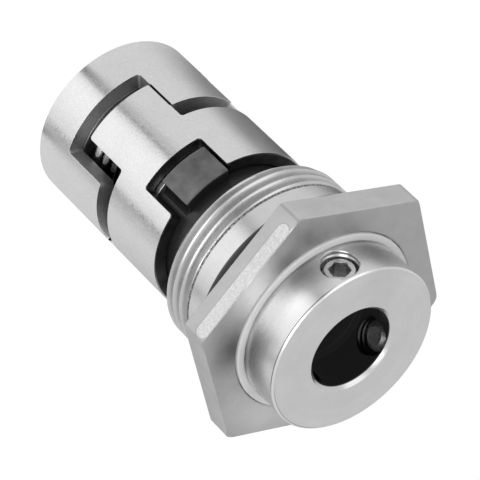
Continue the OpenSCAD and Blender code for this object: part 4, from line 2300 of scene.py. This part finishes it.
@dataclass(frozen=True)
class Lamp:
    """A square soft lamp that faces the object.

    Attributes:
        name: Its name.
        azimuth: Its angle round the object, in degrees.
        elevation: Its angle above the floor, in degrees.
        distance: Its distance from the object's middle, in metres.
        size: Its side, in metres.
        power: Its power, in watts.
        aim: Height of the object's middle, in metres.
    """

    name: str
    azimuth: float
    elevation: float
    distance: float
    size: float
    power: float
    aim: float = 0.027

    def build(self) -> None:
        """Adds the lamp to the scene."""
        data = bpy.data.lights.new(self.name, "AREA")
        data.size = self.size
        data.energy = self.power
        lamp = bpy.data.objects.new(self.name, data)
        flat, rise = polar(self.distance, math.radians(self.elevation))
        away = Vector((*polar(flat, math.radians(self.azimuth)), rise))
        lamp.location = Vector((0, 0, self.aim)) + away
        lamp.rotation_euler = away.to_track_quat("Z", "Y").to_euler()
        bpy.context.scene.collection.objects.link(lamp)


@dataclass(frozen=True)
class Panel:
    """One edge of the bright panel that the steel mirrors from the floor.

    Attributes:
        start: Angle round the shaft of the edge's foot.
        heading: The way that the edge runs, in degrees.
        side: 1 where the panel lies left of it, and -1 where it lies right.
        soft: How softly the panel begins.
    """

    start: float
    heading: float
    side: int
    soft: float


@dataclass(frozen=True)
class Floor:
    """The pale floor, which the camera sees nearly white.

    Attributes:
        size: Half its width, in metres.
        colour: Its own grey.
        roughness: Its roughness.
        seen: Share of white that the camera sees, and its strength.
        mirrored: Share of the panel that glossy rays see.
        foot: Radius of the part, at which the panel's edges begin, in millimetres.
        reach: How an edge softens with distance, and its width at the part.
        panel_from: Where the panel begins across an edge.
        rim: Middle and half width of the dark rim along an edge.
        rim_ahead: The ease into the rim along the edge.
        behind: The ease into the floor's painted shade behind the part, along y.
        shadow_y: The ease into the painted shadow patch on the left, along y.
        shadow_x: The eases into that patch, along x.
        levels: Lightness of the floor, and what the panel adds to it.
        darks: What the floor behind, the rim and the patch take away.
        edges: The panel's edges.
    """

    size: float = 3.0
    colour: float = 0.86
    roughness: float = 0.9
    seen: tuple[float, float] = (0.86, 1.08)
    mirrored: float = 0.8
    foot: float = 12.4
    reach: tuple[float, float] = (0.105, 0.65)
    panel_from: float = -0.5
    rim: tuple[float, float] = (-0.8, 1.5)
    rim_ahead: Ease = (-3.0, 0.0)
    behind: Ease = (-10.0, 40.0)
    shadow_y: Ease = (-10.0, 6.0)
    shadow_x: tuple[Ease, Ease] = ((-4.0, -12.0), (-64.0, -46.0))
    levels: tuple[float, float] = (0.78, 0.42)
    darks: tuple[float, float, float] = (0.25, 0.5, 0.52)
    edges: tuple[Panel, ...] = (Panel(-96.0, -102.0, 1, 2.6), Panel(-53.0, -16.0, -1, 8.0))

    def build(self) -> None:
        """Adds the floor to the scene."""
        mesh = bmesh.new()
        bmesh.ops.create_grid(mesh, x_segments=1, y_segments=1, size=self.size)
        floor = object_from(mesh, "floor")
        floor.data.materials.append(self.material())
        floor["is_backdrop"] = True

    def material(self) -> bpy.types.Material:
        """Makes the floor's material.

        Returns:
            The material.
        """
        tree = ShaderTree("floor")
        tree.set(base_color=(*[self.colour] * 3, 1), roughness=self.roughness)
        rays = tree.add("ShaderNodeLightPath", {}, {}).outputs
        seen = Value(tree, rays["Is Camera Ray"])
        mirrored = Value(tree, rays["Is Glossy Ray"])
        mirrored = mirrored.at_least(Value(tree, rays["Is Transmission Ray"]))
        share, strength = self.seen
        # For glossy rays the floor glows with a painted pattern: a bright panel with dark rims,
        # painted shade behind the part and a painted shadow patch.
        light = (seen * strength).at_least(mirrored * self.level(tree))
        white = tree.node("ShaderNodeEmission", {}, {"Color": tree.grey(light), "Strength": 1.0})
        inputs = {
            0: (seen * share).at_least(mirrored * self.mirrored),
            1: Value(tree, tree.shader.outputs[0]),
            2: white,
        }
        tree.feed(tree.output.inputs[0], tree.node("ShaderNodeMixShader", {}, inputs))
        return tree.material

    def level(self, tree: ShaderTree) -> Value:
        """Works out how light the floor is in the steel's reflections.

        Args:
            tree: The tree that the nodes go to.

        Returns:
            The lightness.
        """
        x, y, _ = tree.axes
        widening, width = self.reach
        reach = (tree.radius - self.foot).at_least(0.0) * widening + width
        panels = []
        rims = []
        for edge in self.edges:
            way = Vector(polar(1.0, math.radians(edge.heading)))
            inward = Vector((-way.y, way.x)) * edge.side
            foot = Vector(polar(self.foot, math.radians(edge.start)))
            across = ((x - foot.x) * inward.x + (y - foot.y) * inward.y) / reach
            ahead = (x - foot.x) * way.x + (y - foot.y) * way.y
            panels.append(across.step(self.panel_from, edge.soft))
            rims.append(across.bump(*self.rim) * ahead.step(*self.rim_ahead))
        panel = math.prod(panels[1:], start=panels[0])
        rim = rims[0]
        for other in rims[1:]:
            rim = rim.at_least(other)
        # Painted shadow: a dark patch on the floor where the part's shadow would fall.
        left, right = self.shadow_x
        shadow = y.step(*self.shadow_y) * x.step(*left) * x.step(*right)
        plain, bright = self.levels
        far, along, patch = self.darks
        level = plain + panel * bright - y.step(*self.behind) * far
        return level - rim * along - shadow * patch


@dataclass
class Studio:
    """Camera, lamps, sky and floor.

    Attributes:
        lens: The camera's focal length, in millimetres.
        sensor: Width of its sensor, in millimetres.
        nearest: Nearest distance that it sees, in metres.
        camera_at: Its place, in metres.
        right: The way to the picture's right.
        up: The way to the picture's top.
        sky: Strength of the even pale surrounding.
        floor: The floor.
        lamps: The lamps.
    """

    lens: float = 245.2
    sensor: float = 36.0
    nearest: float = 0.01
    camera_at: Vector = Vector((0.00011, -0.3401, 0.2903))
    right: Vector = Vector((-0.6992, 0.4348, 0.5675))
    up: Vector = Vector((-0.7149, -0.4253, -0.5550))
    sky: float = 0.62
    floor: Floor = Floor()
    lamps: tuple[Lamp, ...] = (
        Lamp("key", azimuth=-58.0, elevation=38.0, distance=0.42, size=0.26, power=0.42),
        Lamp("fill", azimuth=-150.0, elevation=50.0, distance=0.6, size=0.4, power=0.25),
    )

    def build(self) -> None:
        """Sets up everything round the object."""
        scene = bpy.context.scene
        scene.view_settings.view_transform = "Standard"
        self.add_camera(scene)
        self.floor.build()
        self.add_sky(scene)
        for lamp in self.lamps:
            lamp.build()

    def add_camera(self, scene: bpy.types.Scene) -> None:
        """Adds the camera at the photograph's viewing angle.

        Args:
            scene: The scene.
        """
        data = bpy.data.cameras.new("camera")
        data.lens = self.lens
        data.sensor_width = self.sensor
        data.clip_start = self.nearest
        back = self.right.cross(self.up)
        camera = bpy.data.objects.new("camera", data)
        turn = Matrix((self.right, self.up, back)).transposed().to_4x4()
        camera.matrix_world = Matrix.Translation(self.camera_at) @ turn
        scene.collection.objects.link(camera)
        scene.camera = camera

    def add_sky(self, scene: bpy.types.Scene) -> None:
        """Adds an even pale surrounding.

        Args:
            scene: The scene.
        """
        world = bpy.data.worlds.new("surround")
        world.use_nodes = True
        background = world.node_tree.nodes["Background"]
        background.inputs["Color"].default_value = (1, 1, 1, 1)
        background.inputs["Strength"].default_value = self.sky
        scene.world = world


def dress_lock_pin(finishes: Finishes, nodes: Mapping[str, bpy.types.Object]) -> None:
    """Gives the seat's lock pin its finish, which is the one CAD node that stays.

    Args:
        finishes: Where its material comes from.
        nodes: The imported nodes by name.
    """
    data = nodes["seat_lock_pin"].data
    data.materials.clear()
    data.materials.append(finishes.get(Slot.TURNED))
    LOG.info("seat_lock_pin: kept, in %s", Slot.TURNED.value)


def corners(box: Sequence[Sequence[float]]) -> list[list[float]]:
    """Returns a box's two corners as plain lists of numbers."""
    return [[float(number) for number in corner] for corner in box]


def main() -> None:
    """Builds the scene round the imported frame."""
    logging.basicConfig(level=logging.INFO, format="%(name)s: %(message)s")
    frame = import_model()
    cad_box = corners(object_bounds())
    finishes = Finishes()
    Studio().build()
    screws = SetScrews()
    SpringCup().build(finishes)
    DriveRing().build(finishes)
    SealRing().build(finishes)
    CoilSpring().build(finishes)
    Gland().build(finishes)
    LockCollar(screws).build(finishes)
    screws.build(finishes)
    TurnedPieces().build(finishes)
    RubberRings().build(finishes)
    dress_lock_pin(finishes, frame["nodes"])
    bpy.context.view_layer.update()
    sizes = {"cad": cad_box, "visual": corners(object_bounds())}


if __name__ == "__main__":
    main()
